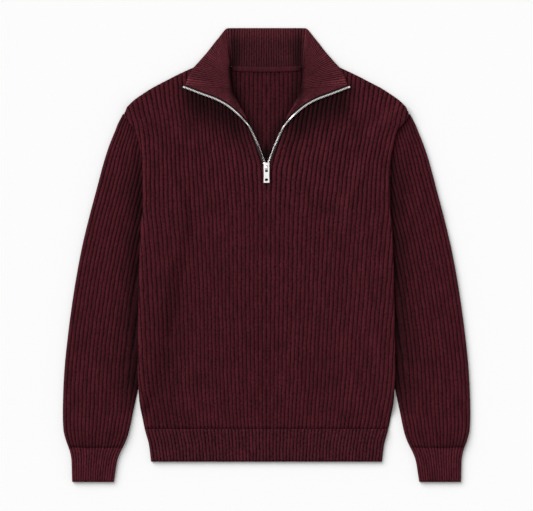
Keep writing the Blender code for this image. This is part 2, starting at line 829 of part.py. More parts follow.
def collar_half():
    """The collar's upper face from the centre back to the foot of the opening."""
    wing_edges = [beside_zip(row, WING_FROM_TEETH) for row in WING["zip"]]
    rows_of = {
        "edge_x": np.append(COLLAR["edge_x"], [x for x, y in wing_edges]),
        "edge_y": np.append(COLLAR["edge_y"], [y for x, y in wing_edges]),
        "zip": np.append(np.full(len(COLLAR["roll"]), WING["zip"][0]), WING["zip"]),
    }
    for name in ("root_x", "root_y", "roll", "lip"):
        rows_of[name] = np.append(COLLAR[name], WING[name])
    steps = np.hypot(np.diff(rows_of["edge_x"]), np.diff(rows_of["edge_y"]))
    reach = np.append(0.0, np.cumsum(steps))
    follow = {name: smooth_through(reach, rows_of[name]) for name in rows_of}

    before = reach[COLLAR_ROLL_ROW - 1]
    after = reach[COLLAR_ROLL_ROW]
    tip = reach[len(COLLAR["roll"])]
    back = np.linspace(0.0, before, 2 * COLLAR_BACK_RIBS + 1)
    wing = np.linspace(after, tip, 2 * COLLAR_WING_RIBS + 1)
    lower = np.linspace(tip, reach[-1], 17)[1:]
    at = np.concatenate([back, [0.5 * (before + after)], wing, lower])
    peaks = np.array([i % 2 for i in range(len(back))] + [0]
                     + [i % 2 for i in range(len(wing))] + [0] * len(lower), float)

    foot = smooth_step(at, before, after)
    root = np.stack([follow["root_x"](at), follow["root_y"](at)], axis=-1)
    edge = np.stack([follow["edge_x"](at), follow["edge_y"](at)], axis=-1)
    for i in np.flatnonzero(at >= tip):
        edge[i] = beside_zip(float(follow["zip"](at[i])), WING_FROM_TEETH)
    span = edge - root
    width = np.hypot(span[:, 0], span[:, 1])
    direction = span / width[:, None]
    roll = follow["roll"](at)
    lip = follow["lip"](at)
    base = CLOTH + (ROOT_Z - CLOTH) * foot
    rise = roll - base

    rows = []
    turn = np.minimum(ROLL_TURN, ROLL_TURN_PART * width)
    crest = np.minimum(ROLL_CREST, ROLL_CREST_PART * width)
    flat_parts = (0.0, 0.06, 0.13, 0.24, 0.44, 0.7, 1.0)
    out_parts = (0.0, 0.0, 0.0, 0.0, 0.3, 0.64, 1.0)
    for j, part in enumerate(flat_parts):
        if j == 0:
            out, high = 0.0 * width, base
        elif j == 1:
            out, high = 0.02 * turn, base + 0.6 * rise
        elif j == 2:
            out, high = turn, roll - 0.1 * rise
        elif j == 3:
            out, high = crest, roll
        else:
            out = crest + (width - crest) * out_parts[j]
            high = lip + (roll - lip) * (1.0 - out_parts[j]) ** ROLL_FALL
        flat_out = part * width
        across = flat_out + (out - flat_out) * foot
        flat_high = CLOTH * np.ones_like(at)
        height = flat_high + (high - flat_high) * foot
        plan = root + direction * across[:, None]
        rows.append(np.column_stack([plan, height]))
    return np.array(rows), peaks, at


def face_normals(points):
    """Upward unit normals of a grid of points."""
    along = np.gradient(points, axis=1)
    across = np.gradient(points, axis=0)
    normal = np.cross(along, across)
    normal /= np.linalg.norm(normal, axis=-1, keepdims=True)
    return normal


def make_collar(collection, material):
    half, peaks, at = collar_half()
    whole = np.concatenate([mirrored(half[:, :0:-1], -1), half], axis=1)
    whole_at = np.concatenate([-at[:0:-1], at])
    whole_peaks = np.concatenate([peaks[:0:-1], peaks])
    normals = face_normals(whole)
    under = whole - normals * CLOTH
    fade = np.array([0.0, 0.3, 0.6, 1.0, 1.0, 1.0, 1.0])
    upper = whole + normals * (FINE_RIB * whole_peaks[None, :] * fade[:, None])[..., None]
    middle = len(at) - 1
    few = {0, 2 * middle, middle}
    for k in range(0, middle, 5):
        few.update((middle - k, middle + k))
    for k in (2 * COLLAR_BACK_RIBS, 2 * COLLAR_BACK_RIBS + 1, 2 * COLLAR_BACK_RIBS + 2):
        few.update((middle - k, middle + k))
    few = sorted(few)
    mesh = panel_mesh(upper, (whole_at, whole_at), under[:, few], (whole_at[few], whole_at[few]))
    return add_object("collar", mesh, material, collection)


def make_neck_tape(collection, material):
    """The band over the neck seam, laid on the ribs of the collar and the back."""
    half = NECK_HALF - 2.0
    x = np.linspace(-half, half, 13)
    centre = neck_seam_y(x)
    low_z = CLOTH + BACK_RIB + SEAM_GAP
    profile = table(
        "across high",
        (-0.5, 0.5),
        (-0.3, 1.0),
        (0.3, 1.0),
        (0.5, 0.5),
    )
    upper = []
    under = []
    for across, high in zip(profile["across"] * NECK_TAPE_WIDTH, profile["high"] * NECK_TAPE):
        upper.append(np.column_stack([x, centre + across, np.full_like(x, low_z + high)]))
        under.append(np.column_stack([x, centre + across, np.full_like(x, low_z)]))
    mesh = panel_mesh(upper, (x, x), under, (x, x))
    return add_object("neck_tape", mesh, material, collection)


# The zip

def make_zip_tape(collection, material, name, side):
    """One side of the zip: the envelope of its teeth with its tape beside it."""
    stations = 32
    row = np.linspace(0.0, zip_rows[-1], stations)
    line = {key: zip_curves[key](row) for key in ZIP_LINE}
    centre = zip_point(row).T
    heading = np.gradient(centre, axis=0)
    heading /= np.linalg.norm(heading, axis=1, keepdims=True)
    loops = []
    for point, ahead, turn, tape in zip(centre, heading, line["turn"], line["tape"]):
        outward = np.cross(ahead, (0.0, 0.0, 1.0))
        outward /= np.linalg.norm(outward)
        upward = np.cross(outward, ahead)
        angle = math.radians(turn)
        to_cloth = math.cos(angle) * outward - math.sin(angle) * upward
        over = np.cross(to_cloth, ahead)
        section = (
            (-BEAD_HALF_WIDTH, -BEAD_HALF_HEIGHT),
            (-BEAD_HALF_WIDTH, BEAD_HALF_HEIGHT),
            (BEAD_HALF_WIDTH, BEAD_HALF_HEIGHT),
            (BEAD_HALF_WIDTH, TAPE_HALF_THICK),
            (max(tape, BEAD_HALF_WIDTH + 0.2), TAPE_HALF_THICK),
            (max(tape, BEAD_HALF_WIDTH + 0.2), -TAPE_HALF_THICK),
            (BEAD_HALF_WIDTH, -TAPE_HALF_THICK),
            (BEAD_HALF_WIDTH, -BEAD_HALF_HEIGHT),
        )
        loops.append([point + to_cloth * u + over * v for u, v in section])
    mesh = bmesh.new()
    rows = add_points(mesh, mirrored(loops, side))
    skin(mesh, rows, around=True)
    mesh.faces.new(rows[0])
    mesh.faces.new(rows[-1])
    return add_object(name, mesh, material, collection)


def add_block(mesh, centre, size, matrix=Matrix()):
    """A box in a bmesh, turned by the matrix and then placed; its vertices are returned."""
    place = Matrix.Translation(centre) @ matrix @ Matrix.Diagonal((*size, 1.0))
    return bmesh.ops.create_cube(mesh, size=1.0, matrix=place)["verts"]


def make_zip_stop(collection, material, name, side):
    """The metal stop clamped on the tape past the last tooth."""
    last = zip_point(zip_rows[-1])
    before = zip_point(zip_rows[-1] - 0.2)
    ahead = (last - before) / np.linalg.norm(last - before)
    centre = last + ahead * (SEAM_GAP + 0.5 * STOP_LENGTH)
    mesh = bmesh.new()
    spin = Matrix.Rotation(math.atan2(ahead[1], ahead[0]), 4, "Z")
    add_block(mesh, Vector(centre), (STOP_LENGTH, STOP_WIDTH, STOP_HEIGHT), spin)
    bmesh.ops.bevel(mesh, geom=mesh.edges, offset=STOP_CORNER, segments=1, affect="EDGES")
    bmesh.ops.scale(mesh, vec=(side, 1.0, 1.0), verts=mesh.verts)
    return add_object(name, mesh, material, collection)


def make_slider(collection, cutters, material):
    """The slider's body, wide where the two tapes enter, with its crown on top."""
    height = SLIDER_TOP_Z - SLIDER_BOTTOM_Z
    centre_y = SLIDER_TOP_Y - 0.5 * SLIDER_LENGTH
    mesh = bmesh.new()
    middle = (0.0, centre_y, SLIDER_BOTTOM_Z + 0.5 * height)
    add_block(mesh, middle, (SLIDER_WIDE, SLIDER_LENGTH, height))
    for vert in mesh.verts:
        if vert.co.y < centre_y:
            vert.co.x *= SLIDER_NARROW / SLIDER_WIDE
    bmesh.ops.bevel(mesh, geom=mesh.edges, offset=SLIDER_CORNER, segments=2, affect="EDGES")
    body = add_object("zip_slider", mesh, material, collection)

    crown = bmesh.new()
    steps = 12
    half = 0.5 * CROWN_LENGTH
    inside_top = PIVOT_Z + CROWN_ROOM
    loops = []
    for i in range(steps + 1):
        angle = math.pi * i / steps
        y = math.cos(angle)
        z = math.sin(angle) ** 0.7
        outer = (y * half, z * (inside_top + CROWN_THICK - SLIDER_TOP_Z))
        inner = (y * (half - CROWN_THICK), z * (inside_top - SLIDER_TOP_Z))
        sink = -CROWN_SUNK if i in (0, steps) else 0.0
        loops.append([
            (s * 0.5 * CROWN_WIDTH, PIVOT_Y - CROWN_BEHIND + at_y, SLIDER_TOP_Z + at_z + sink)
            for s, (at_y, at_z) in ((-1, outer), (1, outer), (1, inner), (-1, inner))
        ])
    rows = add_points(crown, loops)
    skin(crown, rows, around=True)
    crown.faces.new(rows[0])
    crown.faces.new(rows[-1])
    arch = add_object("crown_form", crown, material, cutters)
    arch.hide_render = True
    arch.display_type = "WIRE"
    join = body.modifiers.new("crown", "BOOLEAN")
    join.operation = "UNION"
    join.object = arch
    return body


def rounded_rectangle(width, low, high, radius, waist=0.0, steps=4):
    """Corner-rounded outline between two heights, drawn in a little at its middle."""
    points = []
    corners = (
        (0.5 * width - radius, high - radius, 0.0),
        (-0.5 * width + radius, high - radius, 90.0),
        (-0.5 * width + radius, low + radius, 180.0),
        (0.5 * width - radius, low + radius, 270.0),
    )
    for index, (x, y, start) in enumerate(corners):
        for i in range(steps + 1):
            angle = math.radians(start + 90.0 * i / steps)
            points.append((x + radius * math.cos(angle), y + radius * math.sin(angle)))
        if waist > 0.0 and index in (1, 3):
            side = -1.0 if index == 1 else 1.0
            points.append((side * 0.5 * waist, 0.5 * (low + high)))
    return points


def make_pull_tab(collection, material):
    """The pull: a flat plate with a slot for the crown and a hole near its end."""
    curve = bpy.data.curves.new("pull_outline", "CURVE")
    curve.dimensions = "2D"
    curve.fill_mode = "BOTH"
    curve.extrude = 0.5 * PULL_THICK * MM
    bar = 0.5 * PULL_BAR
    outlines = (
        rounded_rectangle(PULL_WIDTH, -PULL_LENGTH, bar, PULL_CORNER, PULL_WAIST),
        rounded_rectangle(2.0 * PULL_SLOT_HALF, -PULL_SLOT_END, -bar, PULL_SLOT_CORNER, steps=2),
        rounded_rectangle(PULL_HOLE_WIDTH, PULL_HOLE_Y - 0.5 * PULL_HOLE_LENGTH,
                          PULL_HOLE_Y + 0.5 * PULL_HOLE_LENGTH, PULL_HOLE_CORNER),
    )
    for outline in outlines:
        spline = curve.splines.new("POLY")
        spline.points.add(len(outline) - 1)
        for point, (x, y) in zip(spline.points, outline):
            point.co = (x * MM, y * MM, 0.0, 1.0)
        spline.use_cyclic_u = True
    drawn = bpy.data.objects.new("pull_outline", curve)
    collection.objects.link(drawn)
    bpy.context.view_layer.update()
    seen = drawn.evaluated_get(bpy.context.evaluated_depsgraph_get())
    data = bpy.data.meshes.new_from_object(seen)
    bpy.data.objects.remove(drawn)
    mesh = bmesh.new()
    mesh.from_mesh(data)
    bmesh.ops.remove_doubles(mesh, verts=mesh.verts, dist=0.00001)
    bmesh.ops.recalc_face_normals(mesh, faces=mesh.faces)
    mesh.to_mesh(data)
    mesh.free()
    data.name = "pull_tab"
    data.materials.clear()
    data.materials.append(material)
    pull = bpy.data.objects.new("pull_tab", data)
    pull.location = (0.0, PIVOT_Y * MM, PIVOT_Z * MM)
    collection.objects.link(pull)
    return pull


def main():
    clear_scene()
    garment = bpy.data.collections.new("half_zip_sweatshirt")
    cutters = bpy.data.collections.new("forms")
    bpy.context.scene.collection.children.link(garment)
    bpy.context.scene.collection.children.link(cutters)

    def cloth(name, rgb=BURGUNDY):
        return plain_material(name, rgb, 0.9)

    def metal(name):
        return plain_material(name, NICKEL, 0.25, 1.0)

    make_back(garment, cloth("rib_knit_back"))
    make_front(garment, cloth("rib_knit_front"))
    make_hem_band(garment, cloth("rib_knit_hem"))
    make_collar(garment, cloth("rib_knit_collar", BURGUNDY_LIGHT))
    make_neck_tape(garment, cloth("neck_tape_cloth", BURGUNDY_LIGHT))
    for name, side in (("left", 1), ("right", -1)):
        make_sleeve(garment, cloth("rib_knit_sleeve_" + name), "sleeve_" + name, side)
        make_cuff(garment, cloth("rib_knit_cuff_" + name), "cuff_" + name, side)
        make_zip_tape(garment, cloth("zip_tape_cloth_" + name, BURGUNDY_DARK), "zip_tape_" + name, side)
        make_zip_stop(garment, metal("stop_metal_" + name), "zip_stop_" + name, side)
    make_slider(garment, cutters, metal("slider_metal"))
    make_pull_tab(garment, metal("pull_metal"))


main()
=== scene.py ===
# A half zip sweatshirt in burgundy rib knit, laid flat with its zip open.
# The finished look: fine cloth shells, zip teeth, slider and finishes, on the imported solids.
import math

import bpy
import numpy as np
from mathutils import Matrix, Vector


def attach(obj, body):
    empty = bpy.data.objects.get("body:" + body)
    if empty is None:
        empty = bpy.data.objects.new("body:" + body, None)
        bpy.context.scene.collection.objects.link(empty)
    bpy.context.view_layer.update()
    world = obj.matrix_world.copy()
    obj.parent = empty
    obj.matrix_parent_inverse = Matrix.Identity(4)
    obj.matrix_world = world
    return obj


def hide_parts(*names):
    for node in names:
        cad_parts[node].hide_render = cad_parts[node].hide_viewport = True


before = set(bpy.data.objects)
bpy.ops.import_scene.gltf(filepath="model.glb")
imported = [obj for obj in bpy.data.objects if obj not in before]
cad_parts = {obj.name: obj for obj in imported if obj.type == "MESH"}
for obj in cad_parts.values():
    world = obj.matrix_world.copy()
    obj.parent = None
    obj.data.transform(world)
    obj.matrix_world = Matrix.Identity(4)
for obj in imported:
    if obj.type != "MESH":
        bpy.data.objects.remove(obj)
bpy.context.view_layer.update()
print("frame loaded:", len(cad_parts), "nodes")

mm = 0.001  # everything below is in millimetres, in the frame's own axes


def table(columns, *rows):
    names = columns.split()
    return {name: np.array([row[i] for row in rows], float) for i, name in enumerate(names)}


def curveThrough(at, values):
    # a smooth curve through a table's rows that never overshoots them
    steps = np.diff(at)
    slopes = np.diff(values) / steps
    tangents = np.empty(len(at))
    tangents[0] = slopes[0]
    tangents[-1] = slopes[-1]
    for i in range(1, len(at) - 1):
        before, after = slopes[i - 1], slopes[i]
        tangents[i] = 0.0 if before * after <= 0.0 else 2.0 * before * after / (before + after)

    def curve(where):
        where = np.clip(where, at[0], at[-1])
        i = np.clip(np.searchsorted(at, where, side="right") - 1, 0, len(steps) - 1)
        t = (where - at[i]) / steps[i]
        start = values[i] * (1.0 + 2.0 * t) * (1.0 - t) ** 2
        end = values[i + 1] * t * t * (3.0 - 2.0 * t)
        leave = tangents[i] * steps[i] * t * (1.0 - t) ** 2
        arrive = tangents[i + 1] * steps[i] * t * t * (t - 1.0)
        return start + end + leave + arrive

    return curve


def smoothStep(value, low, high):
    t = np.clip((value - low) / (high - low), 0.0, 1.0)
    return t * t * (3.0 - 2.0 * t)


def roundedRise(distance, radius):
    t = np.clip(distance / radius, 0.0, 1.0)
    return np.sqrt(1.0 - (1.0 - t) ** 2)


def ribRidge(ribs):
    # height of a rib, 0 in the valley between two ribs and 1 on the crest
    return np.abs(np.sin(np.pi * ribs)) ** 0.8


def fadeOut(value, low, high):
    return 1.0 - smoothStep(value, low, high)


def hump(away, width):
    # a soft ridge, 1 in its middle
    return np.exp(-(away / width) ** 2)


def together(*parts):
    return np.stack(np.broadcast_arrays(*parts), axis=-1)


def curveOf(rows):
    # the curve of a table of two columns
    return curveThrough(*rows.values())


# outlines, read from the hem up to the neck
bodyHalf = curveOf(table(
    "y half",
    (-361.4, 202), (-332.5, 205.6), (-306, 212.6), (-280, 217.9), (-253, 222.5), (-200, 225.2), (-7, 222.2),
    (50, 219.6), (84, 216.4), (130, 216.4), (185, 221), (217, 230), (245, 253), (262, 262), (352, 276),
))
shoulder = table(
    "x y",
    (78, 349), (104, 338), (137, 323.7), (159.2, 313.2), (179.4, 302.7), (199.5, 292.2), (216.1, 281.7),
    (231, 271.2), (241.5, 260.7), (248.5, 252), (253, 245), (262, 226),
)
opening = table(
    "x y",
    (7.6, 160.5), (9.6, 167), (18.8, 192.5), (31, 218), (38, 232), (45.6, 246), (54.6, 264), (62.2, 281),
    (67, 303), (70, 324), (78, 349),
)
shoulderY = curveOf(shoulder)
openingY = curveOf(opening)
# The front's rib lines: x of its middle line and of rib 8, 16, 24 and 32 of each half. They part round
# the open zip, fan out below the shoulders and close up towards the hem; the wearer's left half leans more.
ribLines = table(
    "y middle left8 left16 left24 left32 right8 right16 right24 right32",
    (-304, 0, 50, 103, 156, 212, 50, 102, 153, 206), (-271, 0, 51.5, 106, 161, 218.5, 52, 104.5, 157.5, 211),
    (-219, 0, 55, 110, 167, 226, 54.5, 107, 162, 221), (-149, 0, 57, 113, 171, 230, 56.5, 108.5, 164, 225),
    (-79, 0, 59.5, 117, 177.5, 237, 58, 109.5, 167, 229), (-9, 0, 61.5, 121, 182, 243, 58, 112, 171, 233),
    (44, 0, 63, 124, 186, 249, 58.5, 114.5, 175, 236), (88, 0, 65, 128, 190, 254, 60, 117, 179, 240),
    (122, 0, 68, 132, 191.5, 253.5, 62.5, 119.5, 179.5, 240),
    (152, 0.5, 72, 136, 193.5, 254, 65, 122, 180, 240), (172, 5, 75, 139, 196, 256, 67.5, 123, 180.5, 240.5),
    (187, 10, 78, 141.5, 199, 259, 69.5, 124, 181, 241.5),
    (203, 16, 81, 144, 202.5, 264, 72, 125, 182, 243.5),
    (219, 21, 84, 146.5, 206, 269, 74, 126, 183.5, 246.5),
    (234, 24, 86.5, 148.5, 209.5, 274, 75.5, 127, 185.5, 250.5),
    (250, 26, 89, 150.5, 213, 279, 76.5, 128, 188, 255.5),
    (281, 27.5, 93, 154, 219.5, 288, 77.5, 129.5, 193, 265), (352, 28, 98, 160, 232, 305, 79, 132, 200, 280),
)
sleeveOuterX = curveOf(table(
    "y x",
    (-336, 346.6), (-322, 351.6), (-306, 355.2), (-280, 356.4), (-240, 355.6), (-200, 353.4), (-148, 348.2),
    (-70, 337.8), (8.7, 323.8), (61, 311.5), (114, 297.5), (166, 283.5), (192.5, 274.8), (218.7, 264.2),
    (229, 260.2), (247, 251),
))
sleeveInnerX = curveOf(table(
    "y x",
    (-336, 251), (-322, 244.6), (-306, 239.8), (-280, 234.4), (-254, 229), (-166, 211), (-79, 193),
    (8.7, 176), (74, 164),
))
sleeveHeadY = curveOf(table(
    "across y",
    (0, 247), (0.35, 216), (0.57, 180), (0.83, 130), (0.93, 98), (1, 74),
))
cuffOuterX = curveOf(table(
    "y x",
    (-396.8, 340), (-385, 340.4), (-359, 341.2), (-345, 343.6), (-336, 346.6),
))
cuffInnerX = curveOf(table(
    "y x",
    (-396.8, 267), (-385, 265.2), (-359, 260.8), (-345, 255.6), (-336, 251),
))
# where the body has climbed fully onto the sleeve
onSleeveHalf = curveOf(table(
    "y half",
    (-290, 246), (-254, 218), (-166, 197), (-79, 179), (8.7, 161), (60, 148), (90, 149), (130, 164),
    (180, 184), (215, 200), (247, 226), (281, 262), (349, 300),
))


# nodes and colours
def toLinear(hexColour):
    channels = [int(hexColour[i:i + 2], 16) / 255.0 for i in (1, 3, 5)]
    return (*[c / 12.92 if c <= 0.04045 else ((c + 0.055) / 1.055) ** 2.4 for c in channels], 1.0)


def fill(tree, node, sockets):
    # links the sockets that are given and sets the values
    for name, value in sockets.items():
        if isinstance(value, bpy.types.NodeSocket):
            tree.links.new(value, node.inputs[name])
        else:
            node.inputs[name].default_value = value


def addNode(tree, kind, sockets=None, **settings):
    node = tree.nodes.new(kind)
    for name, value in settings.items():
        setattr(node, name, value)
    fill(tree, node, sockets or {})
    return node


def addMath(tree, operation, *values):
    return addNode(tree, "ShaderNodeMath", dict(enumerate(values)), operation=operation).outputs[0]


def addScaled(tree, vector, scale):
    return addNode(tree, "ShaderNodeMapping", {"Vector": vector, "Scale": scale}).outputs[0]


def addNoise(tree, vector, scale, detail, roughness):
    return addNode(tree, "ShaderNodeTexNoise", {
        "Vector": vector, "Scale": scale, "Detail": detail, "Roughness": roughness}).outputs[0]


def addRange(tree, value, fromLow, fromHigh, toLow, toHigh, **settings):
    return addNode(tree, "ShaderNodeMapRange", {
        "Value": value, "From Min": fromLow, "From Max": fromHigh, "To Min": toLow, "To Max": toHigh},
        **settings).outputs[0]


def addBump(tree, height, strength, distance):
    return addNode(tree, "ShaderNodeBump", {
        "Height": height, "Strength": strength, "Distance": distance * mm}).outputs[0]


def newMaterial(name):
    material = bpy.data.materials.new(name)
    material.use_nodes = True
    return material, material.node_tree, material.node_tree.nodes["Principled BSDF"]


def addRamp(tree, value, *stops):
    ramp = addNode(tree, "ShaderNodeValToRGB", {0: value})
    elements = ramp.color_ramp.elements
    while len(elements) < len(stops):
        elements.new(0.5)
    for element, (place, hexColour) in zip(elements, stops):
        element.position = place
        element.color = toLinear(hexColour)
    return ramp.outputs[0]


# Rib knit in combed cotton and wool yarn, piece dyed burgundy: rounded ribs of two wales with a
# purl valley between them, a soft dull face with a little fuzz that catches light at a slant.
def ribKnit(name, look):
    material, tree, shader = newMaterial(name)
    knit = addNode(tree, "ShaderNodeUVMap", uv_map="knit").outputs[0]
    parts = addNode(tree, "ShaderNodeSeparateXYZ", {0: knit})
    ribs, along = parts.outputs[0], parts.outputs[1]
    place = addNode(tree, "ShaderNodeTexCoord").outputs["Object"]

    # stitches: the two legs of each wale and the strand that slants across them
    wale = addMath(tree, "MULTIPLY", ribs, float(look["wales"]))
    leg = addMath(tree, "PINGPONG", addMath(tree, "ADD", wale, 0.5), 0.5)
    course = addMath(tree, "MULTIPLY", along, 1.0 / look["course"])
    slant = addMath(tree, "MULTIPLY_ADD", leg, look["slant"], course)
    strand = addMath(tree, "COSINE", addMath(tree, "MULTIPLY", slant, 2.0 * math.pi))
    legRound = addMath(tree, "SINE", addMath(tree, "MULTIPLY", leg, 2.0 * math.pi))
    stitch = addMath(tree, "MULTIPLY_ADD", strand, 0.35, legRound)

    # painted shade in a rib's valley and painted light on its crest, with fluff, pulled stitches and painted
    # shade in the wales' groove
    fuzz = addNoise(tree, place, 1000.0 / look["fuzz"], 3.0, 0.65)
    grain = addRange(tree, fuzz, 0.32, 0.68, -look["mottle"], look["mottle"])
    inRib = addMath(tree, "PINGPONG", ribs, 0.5)
    ridge = addRange(tree, inRib, 0.02, 0.3, 0.08, 1.0, interpolation_type="SMOOTHSTEP")
    pulls = addNoise(tree, addScaled(tree, knit, (1.9, 1.0 / look["pulled"], 1.0)), 1.0, 2.0, 0.7)
    shade = addMath(tree, "ADD", grain, ridge)
    shade = addMath(tree, "ADD", shade, addRange(tree, pulls, 0.32, 0.68, -look["pull"], look["pull"]))
    shade = addMath(tree, "ADD", shade, addRange(tree, leg, 0.28, 0.5, 0.0, -look["groove"]))
    shade = addMath(tree, "MULTIPLY_ADD", stitch, look["stitchShade"], shade)
    yarn = addRamp(tree, shade, (0.0, look["valley"]), (0.6, look["flank"]), (1.0, look["crest"]))

    # uneven dyeing, ribs that differ a little, and the painted shade and painted light that the piece carries
    # as an attribute
    patches = addNoise(tree, place, 1000.0 / look["patch"], 2.0, 0.5)
    warm = addRange(tree, patches, 0.3, 0.7, 0.93, 1.07)
    paintedShading = addNode(tree, "ShaderNodeAttribute", attribute_name="paintedShading")
    # the attribute paints shade where it is above zero and paints light where it is below zero
    depth = addRange(tree, paintedShading.outputs["Fac"], -1.0, 1.5, 1.6625, 0.0)
    streaks = addNoise(tree, addScaled(tree, knit, (0.83, 1.0 / look["streak"], 1.0)), 1.0, 1.0, 0.5)
    ribTone = addRange(tree, streaks, 0.3, 0.7, 0.66, 0.97)
    value = addMath(tree, "MULTIPLY", addMath(tree, "MULTIPLY", warm, depth), ribTone)
    tone = addNode(tree, "ShaderNodeHueSaturation", {"Color": yarn, "Value": value})
    height = addMath(tree, "MULTIPLY_ADD", fuzz, 0.5, stitch)
    fill(tree, shader, {
        "Base Color": tone.outputs[0],
        "Roughness": addRange(tree, fuzz, 0.3, 0.7, 0.82, 0.96),
        "Normal": addBump(tree, height, look["bump"], 0.35),
        "Specular IOR Level": 0.08,
        "Sheen Weight": look["sheen"], "Sheen Roughness": 0.45, "Sheen Tint": toLinear("#8c3c46"),
    })
    return material


bodyLook = {
    "wales": 2,            # wales on each rib
    "course": 2.3,         # mm from one row of stitches to the next
    "slant": 1.1,
    "fuzz": 3.2,           # mm, size of the yarn's fluff, drawn coarse enough to show
    "patch": 60.0,         # mm, size of the soft uneven dyeing
    "mottle": 0.34,        # how strongly the fluff lightens and darkens the yarn
    "pulled": 4.6,         # mm, length along a rib of the stitches that were pulled tighter
    "pull": 0.42,          # and how much darker or lighter they are
    # the groove sets how dark the painted shade in the line between two wales is
    "groove": 0.3,         # how dark the line between two wales is
    "streak": 34.0,        # mm, length over which a rib stays lighter or darker than the next
    "stitchShade": 0.12,
    # painted shade in the ribs' valleys and painted light on their crests
    "valley": "#1a060d", "flank": "#3d121a", "crest": "#4e1a22",
    "sheen": 0.06,
    "bump": 0.8,
}
# the collar, hem and cuffs have deeper painted shade in their valleys and brighter painted light on their
# crests, the neck band shallower painted shade
collarLook = dict(bodyLook, wales=1, course=1.9, fuzz=2.2, groove=0.0, valley="#10030a", flank="#471a21",
                  crest="#612931")
hemLook = dict(bodyLook, groove=0.1, valley="#0d0307", flank="#38111a", crest="#501d26")
cuffLook = dict(bodyLook, course=2.1, groove=0.0, valley="#11040a", flank="#42151f", crest="#582029")
bandLook = dict(bodyLook, wales=1, course=1.6, mottle=0.25, groove=0.0, valley="#2a0e14",
                flank="#42181f", crest="#54212a")


# Woven polyester zip tape, dyed to the cloth: a fine herringbone that only reads as a dull line.
def wovenTape(name):
    material, tree, shader = newMaterial(name)
    knit = addNode(tree, "ShaderNodeUVMap", uv_map="knit").outputs[0]
    parts = addNode(tree, "ShaderNodeSeparateXYZ", {0: knit})
    fold = addMath(tree, "PINGPONG", parts.outputs[0], 1.2)
    rise = addMath(tree, "MULTIPLY_ADD", fold, 1.0, parts.outputs[1])
    thread = addMath(tree, "SINE", addMath(tree, "MULTIPLY", rise, 2.0 * math.pi / 0.9))
    fill(tree, shader, {
        "Base Color": addRamp(tree, thread, (0.2, "#1d080c"), (0.8, "#341219")),
        "Roughness": 0.8, "Sheen Weight": 0.1, "Normal": addBump(tree, thread, 0.5, 0.15)})
    return material


# Die-cast zinc with bright nickel plate, barrelled smooth: near white, soft broad highlights.
def nickelPlate(name, rough):
    material, tree, shader = newMaterial(name)
    place = addNode(tree, "ShaderNodeTexCoord").outputs["Object"]
    wear = addNoise(tree, place, 1000.0 / 1.2, 4.0, 0.6)
    fill(tree, shader, {
        "Base Color": addRamp(tree, wear, (0.3, "#eae8e6"), (0.7, "#faf9f7")),
        "Roughness": addRange(tree, wear, 0.3, 0.7, rough - 0.06, rough + 0.1),
        "Metallic": 1.0, "Normal": addBump(tree, wear, 0.12, 0.05)})
    return material


# making pieces
def deselectAll():
    if bpy.context.object and bpy.context.object.mode != "OBJECT":
        bpy.ops.object.mode_set(mode="OBJECT")
    bpy.ops.object.select_all(action="DESELECT")


def activate(piece):
    deselectAll()
    piece.select_set(True)
    bpy.context.view_layer.objects.active = piece


def applyModifier(piece, kind, **settings):
    activate(piece)
    modifier = piece.modifiers.new(kind.lower(), kind)
    for name, value in settings.items():
        setattr(modifier, name, value)
    bpy.ops.object.modifier_apply(modifier=modifier.name)


def bevel(piece, width, segments, angle=30.0):
    # rounds the edges that turn by more than the angle
    applyModifier(piece, "BEVEL", width=width * mm, segments=segments, limit_method="ANGLE",
                  angle_limit=math.radians(angle))


def valuesOf(items, name, width=3, kind=np.float32):
    # a property of a mesh's vertices, faces or corners, a row for each
    flat = np.empty(len(items) * width, kind)
    items.foreach_get(name, flat)
    return flat.reshape(-1, width)


def gridPiece(name, points, knit, paintedShading=0.0):
    # a grid primitive laid on the points (rows, columns, xyz in mm), with the knit's coordinates as its
    # UV map and its painted shade and painted light as an attribute
    rows, columns = points.shape[:2]
    deselectAll()
    bpy.ops.mesh.primitive_grid_add(
        x_subdivisions=columns - 1, y_subdivisions=rows - 1, size=2.0, calc_uvs=False)
    piece = bpy.context.object
    mesh = piece.data
    piece.name = mesh.name = name
    flat = valuesOf(mesh.vertices, "co")
    column = np.rint((flat[:, 0] + 1.0) * 0.5 * (columns - 1)).astype(int)
    row = np.rint((flat[:, 1] + 1.0) * 0.5 * (rows - 1)).astype(int)
    movePoints(piece, points[row, column])
    corners = valuesOf(mesh.loops, "vertex_index", 1, np.int32)[:, 0]
    layer = mesh.uv_layers.new(name="knit")
    layer.data.foreach_set("uv", knit[row, column][corners].astype(np.float32).ravel())
    paintedShadeAt = np.broadcast_to(paintedShading, points.shape[:2])
    mesh.attributes.new("paintedShading", "FLOAT", "POINT").data.foreach_set(
        "value", paintedShadeAt[row, column].astype(np.float32))
    mesh.update()
    return piece


def movePoints(piece, points):
    piece.data.vertices.foreach_set("co", (points * mm).astype(np.float32).ravel())
    piece.data.update()


def faceOutwards(piece, tube):
    # turns the faces so that the upper side faces up, before the cloth gets its thickness
    mesh = piece.data
    up = valuesOf(mesh.polygons, "normal")[:, 2]
    high = valuesOf(mesh.polygons, "center")[:, 2]
    weight = high - high.mean() if tube else np.ones_like(high)
    if float((up * weight).sum()) < 0.0:
        mesh.flip_normals()


def editPiece(piece, *steps):
    # the steps are done in edit mode, on the whole piece
    activate(piece)
    bpy.ops.object.mode_set(mode="EDIT")
    bpy.ops.mesh.select_all(action="SELECT")
    for step in steps:
        step()
    bpy.ops.object.mode_set(mode="OBJECT")


